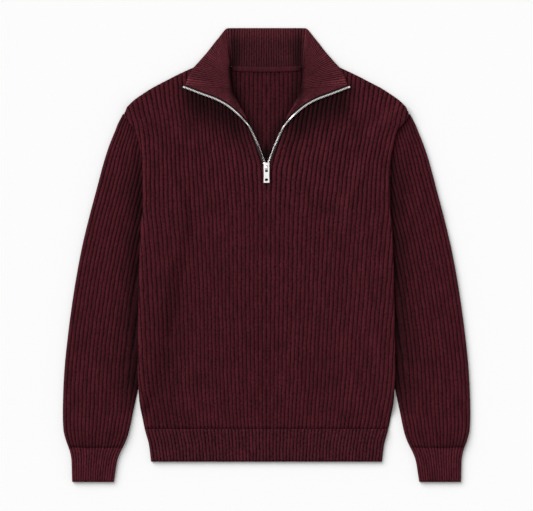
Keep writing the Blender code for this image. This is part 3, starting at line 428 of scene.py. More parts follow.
def editPart(piece, kind, chosen, *steps):
    # and here on the chosen faces or vertices
    activate(piece)
    bpy.ops.object.mode_set(mode="EDIT")
    bpy.ops.mesh.select_mode(type=kind)
    bpy.ops.mesh.select_all(action="DESELECT")
    bpy.ops.object.mode_set(mode="OBJECT")
    for part in piece.data.polygons if kind == "FACE" else piece.data.vertices:
        part.select = chosen(part)
    bpy.ops.object.mode_set(mode="EDIT")
    for step in steps:
        step()
    bpy.ops.object.mode_set(mode="OBJECT")


def weld():
    bpy.ops.mesh.remove_doubles(threshold=0.00001)


def turnOutwards():
    bpy.ops.mesh.normals_make_consistent(inside=False)


def softEdges(piece, degrees):
    activate(piece)
    bpy.ops.object.shade_smooth_by_angle(angle=math.radians(degrees))


def block(size, place=(0.0, 0.0, 0.0)):
    deselectAll()
    bpy.ops.mesh.primitive_cube_add(size=1.0)
    piece = bpy.context.object
    piece.scale = [side * mm for side in size]
    piece.location = [along * mm for along in place]
    bpy.ops.object.transform_apply(location=True, scale=True)
    return piece


def addObject(name, data):
    piece = bpy.data.objects.new(name, data)
    bpy.context.scene.collection.objects.link(piece)
    return piece


def dress(piece, material, body="garment"):
    piece.data.materials.clear()
    piece.data.materials.append(material)
    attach(piece, body)


def clothPiece(name, points, knit, paintedShading, thick, material, node, tube=False, trim=None):
    # a finished shell of cloth; trim may move its points, of which the grid's own come first
    piece = gridPiece(name, points, knit, paintedShading)
    if tube:
        editPiece(piece, weld)
    faceOutwards(piece, tube)
    count = len(piece.data.vertices)
    applyModifier(piece, "SOLIDIFY", thickness=thick * mm, offset=-1.0)
    if trim:
        solid = valuesOf(piece.data.vertices, "co") / mm
        trim(solid, count)
        movePoints(piece, solid)
    activate(piece)
    bpy.ops.object.shade_smooth()
    dress(piece, material)
    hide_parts(node)
    return piece


# soft creases: a ridge (or a trough with a negative depth) along a line, uneven and fading at its ends
def creases(x, y, rows):
    total = np.zeros(np.broadcast(x, y).shape)
    for x0, y0, x1, y1, width, depth, bend in rows:
        run = math.hypot(x1 - x0, y1 - y0)
        ux, uy = (x1 - x0) / run, (y1 - y0) / run
        t = ((x - x0) * ux + (y - y0) * uy) / run
        away = -(x - x0) * uy + (y - y0) * ux
        away = away - bend * np.sin(np.pi * np.clip(t, 0.0, 1.0)) - 0.12 * width * np.sin(5.0 * t + x0)
        fade = smoothStep(t, -0.12, 0.3) * fadeOut(t, 0.62, 1.12)
        strength = 1.0 + 0.22 * np.sin(7.0 * t + 0.05 * y0)
        total = total + depth * fade * strength * hump(away, width)
    return total


# heights of the layers, as in the solids
layers = {
    "cloth": 2.2,        # a panel without its ribs
    "gap": 0.3,          # between two pieces
    "loft": 2.1,         # air between the front and the back
    "lift": 6.5,         # the body's sides lie this high, on the sleeves
    "ramp": 26.0,
    "wall": 1.5,         # thickness of the finished shells
}


def liftAt(x, y):
    full = onSleeveHalf(y)
    return layers["lift"] * smoothStep(np.abs(x), full - layers["ramp"], full)


def loftAt(x, y):
    inside = 1.0 - (np.abs(x) / bodyHalf(y)) ** 4
    below = smoothStep(shoulderY(np.abs(x)) - y, 0.0, 60.0)
    return layers["loft"] * np.clip(inside, 0.0, 1.0) * (0.25 + 0.75 * below)


def frontUnder(x, y):
    return liftAt(x, y) + layers["cloth"] + layers["gap"] + loftAt(x, y)


# the two body panels
panels = {
    "ribsASide": 30,
    "hemSeam": -304.0,
    "notchY": 147.2,
    "notchHalf": 7.2,
    "top": 352.0,
    "perRib": 8,         # columns to a rib
    "rows": 96,
    "ridge": 1.5,        # height of a rib
    "sunk": 0.7,         # how far its valley lies below the solid's plain face
    "stretched": 0.4,    # how much higher ribs stand toward the shoulders
    "roll": 0.8,         # how far the side edge swells
    "rollIn": 8.0, "rollWide": 6.0, "turnDown": 5.0,
    "edge": 0.4,         # least thickness at the side edge
    "seamDip": 0.15,     # groove at the seams with the bands
    "cornerIn": 3.6,     # how far the shoulder's corner is rounded in over the sleeve
    "cornerX": (242.0, 253.0), "cornerY": (230.0, 243.0),
    "pressed": 1.5,      # how far the front is pressed down where the zip is sewn to it
    "pressedWide": 4.5, "pressedFrom": (140.0, 160.0), "pressedTo": (270.0, 300.0),
    "zipSlant": 0.85,    # from a distance along x to one square to the zip
}
frontCreases = (
    # x0, y0, x1, y1, width, depth, bend
    (4, -72, -2, -262, 13, -1, 3), (50, -120, 46, -292, 12, 1.5, -4), (-176, -70, -160, -235, 22, -1.3, 6),
    (-138, -190, -132, -300, 12, 1.3, 0), (-96, -240, -100, -302, 10, 0.9, 0),
    (110, -130, 96, -270, 16, -0.9, 5), (160, -100, 150, -290, 15, 1.2, -5), (-212, 62, -150, 20, 8, 1.8, 5),
    (-210, 38, -158, -30, 8, 1.4, 5), (-205, 50, -140, 52, 7, 1, -3), (212, 60, 152, 16, 8, 1.7, -5),
    (208, 30, 166, -44, 8, 1.3, -5), (-150, 120, -120, 10, 20, -1, 5), (140, 150, 128, 20, 20, 0.9, -4),
    (-60, 120, -40, -60, 22, 1, 6), (70, 110, 56, -20, 18, 1, -6), (-22, 140, -100, 60, 12, 0.8, 4),
    (24, 138, 92, 66, 12, 0.8, -4),
)


def ribAt(x, y, side):
    # number of the rib at a place, from the rib lines of that half
    names = ["middle"] + [side + str(k) for k in (8, 16, 24, 32)]
    marks = [curveThrough(ribLines["y"], ribLines[name])(y) for name in names]
    size = np.abs(x)
    rib = 8.0 * (size - marks[0]) / (marks[1] - marks[0])
    for k in (1, 2, 3):
        rib = np.where(size > marks[k], 8.0 * (k + (size - marks[k]) / (marks[k + 1] - marks[k])), rib)
    return rib


def panelPlan(parts, rowParts, edge):
    # plan of a panel's grid: columns at equal parts of the half width, each up to the panel's upper edge
    low = np.full(parts.shape, panels["notchY"] - 20.0)
    high = np.full(parts.shape, panels["top"])
    for _ in range(40):
        middle = 0.5 * (low + high)
        inside = middle < edge(np.abs(parts) * bodyHalf(middle))
        low = np.where(inside, middle, low)
        high = np.where(inside, high, middle)
    bottom = panels["hemSeam"]
    y = bottom + (high - bottom)[None, :] * rowParts[:, None]
    x = parts[None, :] * bodyHalf(y)
    corner = smoothStep(np.abs(x), *panels["cornerX"]) * smoothStep(y, *panels["cornerY"])
    return x - np.sign(x) * panels["cornerIn"] * corner, y


def frontEdge(x):
    beside = np.where(x < opening["x"][-1], openingY(x), shoulderY(x))
    return np.where(x <= panels["notchHalf"], panels["notchY"], beside)


neck = {"seamY": 324.6, "half": 62.0, "rise": 5.5, "end": 68.6}


def neckSeamY(x):
    return neck["seamY"] + neck["rise"] * (np.abs(x) / neck["half"]) ** 2


def backEdge(x):
    seam = neckSeamY(np.minimum(x, neck["half"])) - 0.15
    rise = np.clip((x - neck["end"]) / (shoulder["x"][0] - neck["end"]), 0.0, 1.0)
    low = neckSeamY(neck["half"])
    slope = low + (shoulder["y"][0] - low) * rise ** 0.6
    return np.where(x <= neck["end"], seam, np.where(x < shoulder["x"][0], slope, shoulderY(x)))


def waver(x, y):
    # the small unevenness of ribs that were laid by hand, in ribs
    return 0.04 * (0.7 * np.sin(y / 37.0 + x / 53.0) + 0.5 * np.sin(y / 17.0 - x / 29.0 + 1.3)
                   + 0.7 * np.sin(y / 8.5 + x / 16.0 + 2.1) + 0.8 * np.sin(y / 5.2 - x / 11.0 + 0.4))


def uneven(ribs, y):
    # ribs that stand a little higher here and there
    number = np.floor(ribs)
    return 1.0 + 0.16 * (np.sin(2.4 * number + y / 24.0) * np.sin(1.7 * number - y / 61.0)
                         + 0.5 * np.sin(5.1 * number + y / 9.0))


def relief(ribs, strength):
    # painted light on the crests and painted shade in the valleys of stretched ribs
    return strength * (ribRidge(ribs) - 0.62)


def seamGroove(y, seam):
    return panels["seamDip"] * hump(y - seam, 2.0)


def pressedLip(y, end):
    # a band is pressed thinner at its outer end
    return 1.2 * hump(y - end, 3.0)


def openingGap(x, y):
    # distance below the zip's line, where a wing shades the front
    line = zipPoint(np.linspace(3.0, zipRows[-1], 60))
    order = np.argsort(line[0])
    return np.interp(np.abs(x), line[0][order], line[1][order]) - y


# painted shade and painted light on the front; a shade sets in or fades between a pair's two mm
frontShade = {
    "wing": 1.15, "wingFrom": (14.0, 62.0), "wingTip": (128.0, 165.0),   # from the middle
    "wingReach": (12.0, 86.0), "wingAbove": (-10.0, 2.0),                # below the zip's line
    "zip": 0.45, "zipReach": (4.0, 34.0),
    "belly": 0.25, "bellyX": -168.0, "bellyWide": 26.0, "bellyBelow": 30.0, "bellyFade": 60.0,
    "folds": 0.08,
    "rim": 0.4, "rimIn": 3.0, "rimWide": 5.0, "rimEnd": (180.0, 290.0),
    "least": -0.5, "most": 1.2,
}


def frontClosed(x, y):
    # painted shadow under the wings and beside the zip, painted shade on the belly, painted light and shade
    # on the creases, painted light along the side edge
    shade = frontShade
    out, below = np.abs(x), openingGap(x, y)
    wing = smoothStep(out, *shade["wingFrom"])
    reach = fadeOut(below, *shade["wingReach"]) * smoothStep(below, *shade["wingAbove"])
    underWing = shade["wing"] * wing * fadeOut(out, *shade["wingTip"]) * reach
    nearZip = shade["zip"] * (1.0 - wing) * fadeOut(below, *shade["zipReach"])
    belly = shade["belly"] * hump(x - shade["bellyX"], shade["bellyWide"])
    belly = belly * smoothStep(shade["bellyBelow"] - y, 0.0, shade["bellyFade"])
    folds = shade["folds"] * creases(x, y, frontCreases)
    rim = shade["rim"] * hump(bodyHalf(y) - out - shade["rimIn"], shade["rimWide"])
    rim = rim * fadeOut(-y, *shade["rimEnd"])
    return np.clip(underWing + nearZip + belly - folds - rim, shade["least"], shade["most"])


def makeFront():
    count = panels["ribsASide"] * panels["perRib"]
    parts = np.arange(-count, count + 1) / count
    x, y = panelPlan(parts, np.linspace(0.0, 1.0, panels["rows"]), frontEdge)
    ribs = np.where(x >= 0.0, ribAt(x, y, "left"), ribAt(x, y, "right")) + waver(x, y)
    toSide = (1.0 - np.abs(parts))[None, :] * bodyHalf(y)
    under = frontUnder(x, y)
    ridge = panels["ridge"] * (1.0 + panels["stretched"] * smoothStep(y, 0.0, 160.0))
    z = under + layers["cloth"] - panels["sunk"] + ridge * ribRidge(ribs) * uneven(ribs, y)
    z = z + creases(x, y, frontCreases) * smoothStep(toSide, 0.0, 14.0)
    z = z - seamGroove(y, panels["hemSeam"])
    fromZip = panels["zipSlant"] * (np.abs(x) - np.interp(y, opening["y"], opening["x"]))
    atZip = hump(fromZip, panels["pressedWide"])
    atZip = atZip * smoothStep(y, *panels["pressedFrom"]) * fadeOut(y, *panels["pressedTo"])
    z = z - panels["pressed"] * atZip
    # the side edge is a soft roll that turns down onto the back
    z = z + panels["roll"] * hump(toSide - panels["rollIn"], panels["rollWide"])
    edge = under + panels["edge"]
    z = edge + (z - under - panels["edge"]) * roundedRise(toSide, panels["turnDown"])
    # painted shade and light of the front, with painted light on the crests and painted shade in the valleys
    # of the upper ribs
    paintedShading = frontClosed(x, y) - relief(ribs, 0.55 * smoothStep(y, 40.0, 170.0))
    return clothPiece("rib_knit_front", together(x, y, z), together(ribs, y), paintedShading, layers["wall"],
                      ribKnit("burgundy rib knit, front", bodyLook), "front")


behind = {
    "pitch": 7.6,            # of its ribs, as seen in the neck
    "fineRibs": 11,          # so many from the middle have closer columns
    "rows": 84,
    "ridge": 0.75, "sunk": 0.4, "seenAbove": (120.0, 150.0), "seenX": 96.0, "seenFade": 10.0,
    # its painted shade, in mm in from the opening's edge, and up from the foot of the V
    "shade": 0.9, "least": 0.26, "inward": (6.0, 40.0), "foot": 1.5, "footTo": (172.0, 214.0),
}


def makeBack():
    ribCount, perRib, fine = panels["ribsASide"], panels["perRib"], behind["fineRibs"]
    near = np.arange(fine * perRib + 1) / (ribCount * perRib)
    far = np.arange(fine * 2 + 1, ribCount * 2 + 1) / (ribCount * 2)
    half = np.concatenate([near, far])
    rowParts = np.linspace(0.0, 1.0, behind["rows"]) ** 0.75    # closer toward the neck
    x, y = panelPlan(np.concatenate([-half[:0:-1], half]), rowParts, backEdge)
    ribs = np.abs(x) / behind["pitch"] + waver(x, y)
    size = np.abs(x)
    seen = smoothStep(y, *behind["seenAbove"]) * smoothStep(behind["seenX"] - size, 0.0, behind["seenFade"])
    inward = np.interp(y, opening["y"], opening["x"]) - size
    # painted shade inside the V: near the opening's edges, a little everywhere, and darkest at the V's foot
    paintedShading = np.maximum(fadeOut(inward, *behind["inward"]), behind["least"])
    paintedShading = np.maximum(paintedShading, behind["foot"] * fadeOut(y, *behind["footTo"]))
    ridge = panels["ridge"] * behind["ridge"] * ribRidge(ribs) - behind["sunk"]
    z = liftAt(x, y) + layers["cloth"] + ridge * seen

    def flatBeneath(solid, count):
        under = solid[count:]
        under[:, 2] = liftAt(under[:, 0], np.clip(under[:, 1], panels["hemSeam"], panels["top"]))

    return clothPiece("rib_knit_back", together(x, y, z), together(ribs, y), behind["shade"] * paintedShading,
                      layers["cloth"], ribKnit("burgundy rib knit, back", bodyLook), "back",
                      trim=flatBeneath)


# flattened tubes: hem band, sleeves and cuffs
tubes = {
    "edge": 4.0,         # radius of the folded edges
    "waist": 0.42,       # height of the fold's outermost line
    "ridge": 1.6,
    "sunk": 0.7,
}


def makeTube(name, node, finish, look, place, height, rows, ribCount, perRib, side=1.0, ridge=tubes["ridge"],
             cover=lambda x, y: 1.0, paintedShadeAt=lambda x, y: 0.0, ribShadingAt=lambda y: 0.0):
    # loops over the top from edge 0 to edge 1 and back beneath; place gives x, y from across and row
    count = ribCount * perRib
    across = np.concatenate([np.arange(count + 1), np.arange(count - 1, -1, -1)]) / count
    onTop = (np.arange(2 * count + 1) <= count).astype(float)
    rows = rows[:, None]
    x, y = np.broadcast_arrays(*place(across[None, :], rows))
    edgeA, edgeB = (together(*place(np.full((1, 1), part), rows)) for part in (0.0, 1.0))
    toEdge = np.minimum(across, 1.0 - across) * np.linalg.norm(edgeB - edgeA, axis=-1)
    top = height(x, y)
    waist = tubes["waist"] * top
    rise = roundedRise(toEdge, tubes["edge"])
    ribs = np.arange(2 * count + 1) / perRib + waver(x, y) * onTop * smoothStep(toEdge, 2.0, 10.0)
    raised = ridge * ribRidge(ribs) * uneven(ribs, y) - tubes["sunk"]
    upper = waist + (top - waist) * rise + raised * cover(x, y) * smoothStep(toEdge, 0.0, 2.5)
    z = np.where(onTop > 0.5, upper, waist * (1.0 - rise))
    # painted shade on the upper layer, and painted light and shade on stretched ribs
    paintedShading = paintedShadeAt(x, y) * onTop - relief(ribs, ribShadingAt(y))
    return clothPiece(name, together(side * x, y, z), together(ribs, y), paintedShading, layers["wall"],
                      ribKnit(finish, look), node, tube=True)


hem = {"ribs": 70, "perRib": 6, "rows": 16, "top": -304.0, "bottom": -361.4, "height": 7.0}
hemCreases = (
    (-140, -300, -120, -362, 14, 0.8, 0), (46, -300, 42, -362, 12, 0.9, 0),
    (150, -300, 140, -362, 14, 0.7, 0),
)


def makeHem():
    def place(across, row):
        y = hem["top"] + (hem["bottom"] - hem["top"]) * row
        return (2.0 * across - 1.0) * bodyHalf(y), y

    def height(x, y):
        dip = seamGroove(y, hem["top"])
        return hem["height"] + creases(x, y, hemCreases) - dip - pressedLip(y, hem["bottom"])

    return makeTube("rib_hem_band", "hem_band", "burgundy rib knit, hem", hemLook, place, height,
                    np.linspace(0.0, 1.0, hem["rows"]), hem["ribs"], hem["perRib"])


sleeve = {
    "ribs": 18, "perRib": 8, "pitch": 6.9, "free": 7.4, "crown": 1.4, "covered": 6.0, "evenRibs": 15,
    "tucked": 7.0,                      # how much further its head reaches beneath the body
    "fold": 2.4, "foldWide": 27.0,      # dip of the sleeve beside the body
    "foldLow": (235.0, 300.0), "foldHigh": (110.0, 215.0), "foldLess": 0.85,
    "belowBody": (240.0, 275.0),        # this far down the body no longer covers it
    # painted light on the upper sleeve's rib crests and painted shade in their valleys
    "stretched": 0.5, "stretchedTo": (-90.0, 60.0),
    "cuffSeam": -336.0, "cuffEnd": -396.8, "cuffHeight": 7.4, "cuffRidge": 0.8, "cuffRows": 18,
}
# of the left sleeve as it lies, and of the right one mirrored
sleeveCreases = {
    "left": (
        (318, 96, 262, 40, 9, 1.5, 4), (336, -40, 262, -96, 11, 1.3, 5), (346, -150, 276, -196, 10, 1.2, -5),
        (350, -240, 296, -282, 10, 1.3, 4), (300, -240, 316, -320, 10, 1.2, 0),
        (262, -262, 290, -318, 9, 1, 3), (292, 130, 262, 96, 8, 1, 0), (318, 10, 300, -100, 14, 1, 5),
    ),
    "right": (
        (316, 80, 258, 22, 9, 1.5, 3), (330, -10, 268, -60, 10, 1.1, -4), (345, -120, 280, -176, 12, 1.4, 5),
        (352, -220, 290, -256, 9, 1.2, 3), (320, -250, 300, -326, 11, 1.2, 0),
        (266, -270, 282, -322, 8, 1, -2), (296, 140, 266, 110, 8, 1, 0), (310, 30, 312, -90, 14, 0.9, -5),
    ),
}


def besideBody(x, y):
    # distance out from the body's edge, which lies on the sleeve
    return x - np.maximum(np.maximum(bodyHalf(y - 10.0), bodyHalf(y + 10.0)), bodyHalf(y))


def sleeveCover(x, y):
    return np.maximum(smoothStep(besideBody(x, y), 3.0, 16.0), smoothStep(-y, *sleeve["belowBody"]))


def sleeveRibs(x, y):
    return np.maximum(smoothStep(x - bodyHalf(y), -5.0, 0.0), smoothStep(-y, *sleeve["belowBody"]))


def sleeveFold(x, y):
    # 1 in the fold beside the body and 0 away from it; the sleeve dips there and gets painted shade
    fold = hump(np.maximum(x - bodyHalf(y), 0.0), sleeve["foldWide"])
    fold = fold * fadeOut(-y, *sleeve["foldLow"])
    return fold * (1.0 - sleeve["foldLess"] * smoothStep(y, *sleeve["foldHigh"]))


def sleevePlace(across, row):
    top = sleeveHeadY(across) + sleeve["tucked"] * smoothStep(across, 0.01, 0.12)
    y = top + (sleeve["cuffSeam"] - top) * row
    width = sleeveOuterX(y) - sleeveInnerX(y)
    full = sleeve["ribs"] * sleeve["pitch"]
    even = sleeve["evenRibs"] / sleeve["ribs"]
    wide = np.where(across <= even, across * full,
                    even * full + (width - even * full) * (across - even) / (1.0 - even))
    return sleeveOuterX(y) - np.where(width <= full, across * width, wide), y


def makeSleeve(sideName, side):
    def height(x, y):
        outer = sleeveOuterX(y)
        across = np.clip((outer - x) / (outer - sleeveInnerX(y)), 0.0, 1.0)
        crown = sleeve["crown"] * np.sin(np.pi * across)
        free = sleeve["free"] + crown + creases(x, y, sleeveCreases[sideName])
        dip = seamGroove(y, sleeve["cuffSeam"]) + sleeve["fold"] * sleeveFold(x, y)
        return sleeve["covered"] + (free - sleeve["covered"]) * sleeveCover(x, y) - dip

    rows = np.concatenate([np.linspace(0.0, 0.12, 12)[:-1], np.linspace(0.12, 1.0, 74)])
    # its fold beside the body gets painted shade, its upper ribs painted light and shade
    return makeTube("rib_sleeve_" + sideName, "sleeve_" + sideName, "burgundy rib knit, sleeve " + sideName,
                    bodyLook, sleevePlace, height, rows, sleeve["ribs"], sleeve["perRib"], side,
                    cover=sleeveRibs, paintedShadeAt=sleeveFold,
                    ribShadingAt=lambda y: sleeve["stretched"] * smoothStep(y, *sleeve["stretchedTo"]))


def makeCuff(sideName, side):
    start, end = sleeve["cuffSeam"], sleeve["cuffEnd"]

    def place(across, row):
        y = start + (end - start) * row
        outer = cuffOuterX(y)
        return outer + (cuffInnerX(y) - outer) * across, y

    def height(x, y):
        return sleeve["cuffHeight"] - seamGroove(y, start) - pressedLip(y, end)

    return makeTube("rib_cuff_" + sideName, "cuff_" + sideName, "burgundy rib knit, cuff " + sideName,
                    cuffLook, place, height, np.linspace(0.0, 1.0, sleeve["cuffRows"]), sleeve["ribs"],
                    sleeve["perRib"], side, sleeve["cuffRidge"] * tubes["ridge"])


# the zip's line, from the slider to the tip of the wing: how far it has turned over, the tape that shows
zipLine = table(
    "x y z turn tape",
    (3.5, 162.4, 6.3, 0, 3.6), (5.6, 168, 6.2, 0, 3.6), (9.8, 179, 6.2, 0, 3.6), (14.9, 192.5, 6.2, 0, 3.6),
    (20.6, 206, 6.6, 8, 3), (26.4, 218, 8.2, 40, 2), (33.2, 228.6, 10.2, 90, 1.7),
    (43.6, 239.6, 10.9, 145, 2), (54.6, 250.2, 10.9, 176, 3), (67.8, 260.6, 10.7, 180, 3.2),
    (86.6, 271.2, 10.6, 180, 3.2), (114.6, 281.8, 10.5, 180, 3.2), (142.6, 292.6, 10.5, 180, 3.2),
)
zipRows = np.arange(len(zipLine["x"]), dtype=float)
zipCurves = {key: curveThrough(zipRows, zipLine[key]) for key in zipLine}


def zipPoint(row):
    return np.array([zipCurves[key](row) for key in ("x", "y", "z")])


def besideZip(row, distance):
    ahead = zipPoint(row + 0.01) - zipPoint(row - 0.01)
    ahead /= np.linalg.norm(ahead)
    point = zipPoint(row)
    return point[0] - ahead[1] * distance, point[1] + ahead[0] * distance


# the collar: flat behind the neck, rolled over at its sides, its front ends turned out as wings
collar = {
    "fromTeeth": 4.2, "rollRow": 3,
    "backRibs": 15, "wingRibs": 29, "perRib": 6, "ridge": 0.95,
    "lowerPitch": 3.1,       # mm to a rib beside the zip
    "bow": 3.5,              # how far the roll bows out at the top
    "bowFrom": (335.0, 395.0), "bowX": 64.0, "bowWide": 9.0,
}
collarRows = table(
    "root_x root_y edge_x edge_y roll lip",
    (0, 324.9, 0, 397, 2.2, 2.2), (34, 326.5, 33, 397, 2.2, 2.2), (62.2, 330.4, 63, 396.9, 2.2, 2.2),
    (64.9, 329.4, 68.6, 395.2, 12.2, 3.4), (64.9, 326, 86.6, 376.5, 13.6, 4),
    (64.5, 321, 103.2, 355.4, 14.4, 4.8), (63.8, 314, 117.6, 338.8, 14.8, 6.6),
    (62.9, 307, 130.4, 323.8, 14.9, 9.4), (61.4, 299, 137, 311, 14.9, 11.2),
)
wingRows = table(
    "zip root_x root_y roll lip",
    (12, 59.4, 291, 14.8, 11.4), (11, 56.9, 281.5, 14.6, 11.3), (10, 54.2, 275.5, 14.4, 11.4),
    (9, 50.4, 268.5, 14.2, 11.6), (8, 45.6, 259.5, 13.8, 12), (7, 39.6, 249.5, 12.8, 12),
    (6.5, 35.6, 242.5, 11.6, 11.2),
)


def collarHalf():
    # rows along the edge: behind the neck, over the roll, along the wing, and down beside the zip
    wing = np.array([besideZip(row, collar["fromTeeth"]) for row in wingRows["zip"]]).T
    shared = ("root_x", "root_y", "roll", "lip")
    rowsOf = {name: np.append(collarRows[name], wingRows[name]) for name in shared}
    rowsOf["edge_x"] = np.append(collarRows["edge_x"], wing[0])
    rowsOf["edge_y"] = np.append(collarRows["edge_y"], wing[1])
    rowsOf["zip"] = np.append(np.full(len(collarRows["roll"]), wingRows["zip"][0]), wingRows["zip"])
    reach = np.append(0.0, np.cumsum(np.hypot(np.diff(rowsOf["edge_x"]), np.diff(rowsOf["edge_y"]))))
    follow = {name: curveThrough(reach, rowsOf[name]) for name in rowsOf}
    before, after = reach[collar["rollRow"] - 1], reach[collar["rollRow"]]
    tip = reach[len(collarRows["roll"])]
    perRib, backRibs, wingRibs = collar["perRib"], collar["backRibs"], collar["wingRibs"]
    backAt = np.linspace(0.0, before, backRibs * perRib + 1)
    turnAt = np.linspace(before, after, 9)[1:-1]
    wingAt = np.linspace(after, tip, wingRibs * perRib + 1)
    lowerAt = np.linspace(tip, reach[-1], 61)[1:]
    at = np.concatenate([backAt, turnAt, wingAt, lowerAt])
    ribs = np.concatenate([
        np.arange(len(backAt)) / perRib,
        backRibs + np.arange(1, len(turnAt) + 1) / (len(turnAt) + 1.0),
        backRibs + 1.0 + np.arange(len(wingAt)) / perRib,
        backRibs + 1.0 + wingRibs + (lowerAt - tip) / collar["lowerPitch"],
    ])
    heights = ((backAt, 1.0), (turnAt, 0.6), (wingAt, 1.0), (lowerAt, 0.35))
    ribHeight = np.concatenate([np.full(len(part), height) for part, height in heights])
    foot = smoothStep(at, before, after)
    root = together(follow["root_x"](at), follow["root_y"](at))
    edge = together(follow["edge_x"](at), follow["edge_y"](at))
    for i in np.flatnonzero(at >= tip):
        edge[i] = besideZip(float(follow["zip"](at[i])), collar["fromTeeth"])
    span = edge - root
    width = np.linalg.norm(span, axis=1)
    direction = span / width[:, None]
    roll, lip = follow["roll"](at), follow["lip"](at)
    base = layers["cloth"] + 1.4 * foot
    rise = roll - base
    turn = np.minimum(1.6, 0.18 * width)
    crest = np.minimum(6.0, 0.42 * width)
    # the roll's section: how far out and how high at seven parts of the way to the edge
    parts = np.array([0.0, 0.06, 0.13, 0.24, 0.44, 0.7, 1.0])
    outs = [0.0 * width, 0.02 * turn, turn, crest]
    highs = [base, base + 0.6 * rise, roll - 0.1 * rise, roll]
    for part in (0.3, 0.64, 1.0):
        outs.append(crest + (width - crest) * part)
        highs.append(lip + (roll - lip) * (1.0 - part) ** 1.3)
    outs, highs = np.array(outs), np.array(highs)
    fineParts = np.concatenate([np.linspace(0.0, 0.24, 15)[:-1], np.linspace(0.24, 1.0, 24)])
    points = np.empty((len(fineParts), len(at), 3))
    for i in range(len(at)):
        out, high = (curveThrough(parts, section[:, i])(fineParts) for section in (outs, highs))
        flatOut = fineParts * width[i]
        across = flatOut + (out - flatOut) * foot[i]
        points[:, i, :2] = root[i] + direction[i] * across[:, None]
        points[:, i, 2] = layers["cloth"] + (high - layers["cloth"]) * foot[i]
    return points, ribs, ribHeight, fineParts, width


def surfaceNormals(points):
    normal = np.cross(np.gradient(points, axis=1), np.gradient(points, axis=0))
    return normal / np.linalg.norm(normal, axis=-1, keepdims=True)


# the collar's painted shade and painted light; pairs are distances in mm out from the middle or above the
# zip's line
collarShade = {
    # painted shade on the stand behind the neck, with painted light toward its top edge and more painted
    # shade beside the rolls
    "stand": 0.62, "standTo": (58.0, 70.0), "topLight": 0.5, "besideRoll": 0.55, "rollAt": (34.0, 58.0),
    # painted light on a wing along the zip, strongest at its narrow inner end and its tip
    "zip": 0.45, "zipEnds": 0.3, "zipReach": (10.0, 26.0), "wider": 6.0,
    "innerEnd": (60.0, 84.0), "tip": (122.0, 140.0),
    # painted shade in a band across the middle of the wings
    "middle": 0.17, "middleFrom": (18.0, 30.0), "middleTo": (50.0, 80.0),
}


def collarClosed(x, y, parts):
    # painted shade on the stand and across the wings, painted light along the zip
    shade = collarShade
    out, above = np.abs(x), -openingGap(x, y)
    topLight = shade["topLight"] * smoothStep(parts, 0.6, 0.97)[:, None]
    besideRoll = shade["besideRoll"] * smoothStep(out, *shade["rollAt"])
    ends = fadeOut(out, *shade["innerEnd"]) + smoothStep(out, *shade["tip"])
    alongZip = shade["zip"] + shade["zipEnds"] * ends
    alongZip = alongZip * fadeOut(above - shade["wider"] * ends, *shade["zipReach"])
    middle = shade["middle"] * smoothStep(above, *shade["middleFrom"]) * fadeOut(above, *shade["middleTo"])
    stand = fadeOut(out, *shade["standTo"]) * (shade["stand"] - topLight + besideRoll)
    return stand + middle - alongZip


def makeCollar():
    half, ribs, ribHeight, parts, width = collarHalf()
    points = np.concatenate([half[:, :0:-1] * np.array([-1.0, 1.0, 1.0]), half], axis=1)
    ribs, ribHeight, width = (np.concatenate([row[:0:-1], row]) for row in (ribs, ribHeight, width))
    bow = collar["bow"] * smoothStep(points[..., 1], *collar["bowFrom"])
    bow = bow * hump(np.abs(points[..., 0]) - collar["bowX"], collar["bowWide"])
    points[..., 0] += np.sign(points[..., 0]) * bow
    fade = smoothStep(parts, 0.0, 0.2) * (1.0 - 0.7 * smoothStep(parts, 0.96, 1.0))
    lift = collar["ridge"] * ribRidge(ribs)[None, :] * ribHeight[None, :] * fade[:, None]
    lipDown = 0.5 * smoothStep(parts, 0.95, 1.0)[:, None]
    points = points + surfaceNormals(points) * (lift - lipDown)[..., None]

    def aboveGround(solid, count):
        solid[:, 2] = np.maximum(solid[:, 2], 0.02)

    return clothPiece("rib_collar", points, together(ribs[None, :], parts[:, None] * width[None, :]),
                      collarClosed(points[..., 0], points[..., 1], parts), layers["wall"],
                      ribKnit("burgundy fine rib, collar", collarLook), "collar",
                      trim=aboveGround)


neckTape = {
    "width": 8.8, "thick": 1.3, "low": 3.9, "wall": 0.7, "half": 60.0,
    "straighter": 0.6,     # share of the seam's curve that it follows
    "rolledWide": 9.15,    # its width measured over its roll
    "seam": 0.35, "seamAt": 0.34, "seamWide": 0.05,     # sunk along its two seams, in parts of its width
    "pitch": 1.6, "shade": 0.8, "shadeFrom": (44.0, 58.0),
}


def makeNeckTape():
    tape = neckTape
    x = np.linspace(-tape["half"], tape["half"], 121)
    across = np.linspace(-0.5, 0.5, 13)[:, None]
    y = neckSeamY(x * tape["straighter"]) + across * tape["width"]
    rolled = 1.0 - np.abs(2.0 * across) ** 4
    ends = smoothStep(tape["half"] - np.abs(x), 0.0, 8.0)
    z = tape["low"] + tape["thick"] * (0.35 + 0.65 * rolled) * (0.5 + 0.5 * ends)
    z = z - tape["seam"] * hump(np.abs(across) - tape["seamAt"], tape["seamWide"])
    # painted shade toward its two ends
    paintedShading = tape["shade"] * smoothStep(np.abs(x), *tape["shadeFrom"])
    return clothPiece("neck_band", together(x, y, z), together(x / tape["pitch"], y), paintedShading, tape["wall"],
                      ribKnit("burgundy jersey, neck band", bandLook), "neck_tape")


# the zip: tape, teeth, slider and pull
zipSizes = {
    "toothPitch": 2.6, "clampLong": 2.1, "headLong": 1.25, "toothWide": 3.0, "toothHigh": 2.4,
    "headPart": 0.38,      # the head's share of a tooth's width
    "tapeThick": 0.8,
    "tapeUnder": 0.2,      # how far the tape reaches beneath the teeth
}


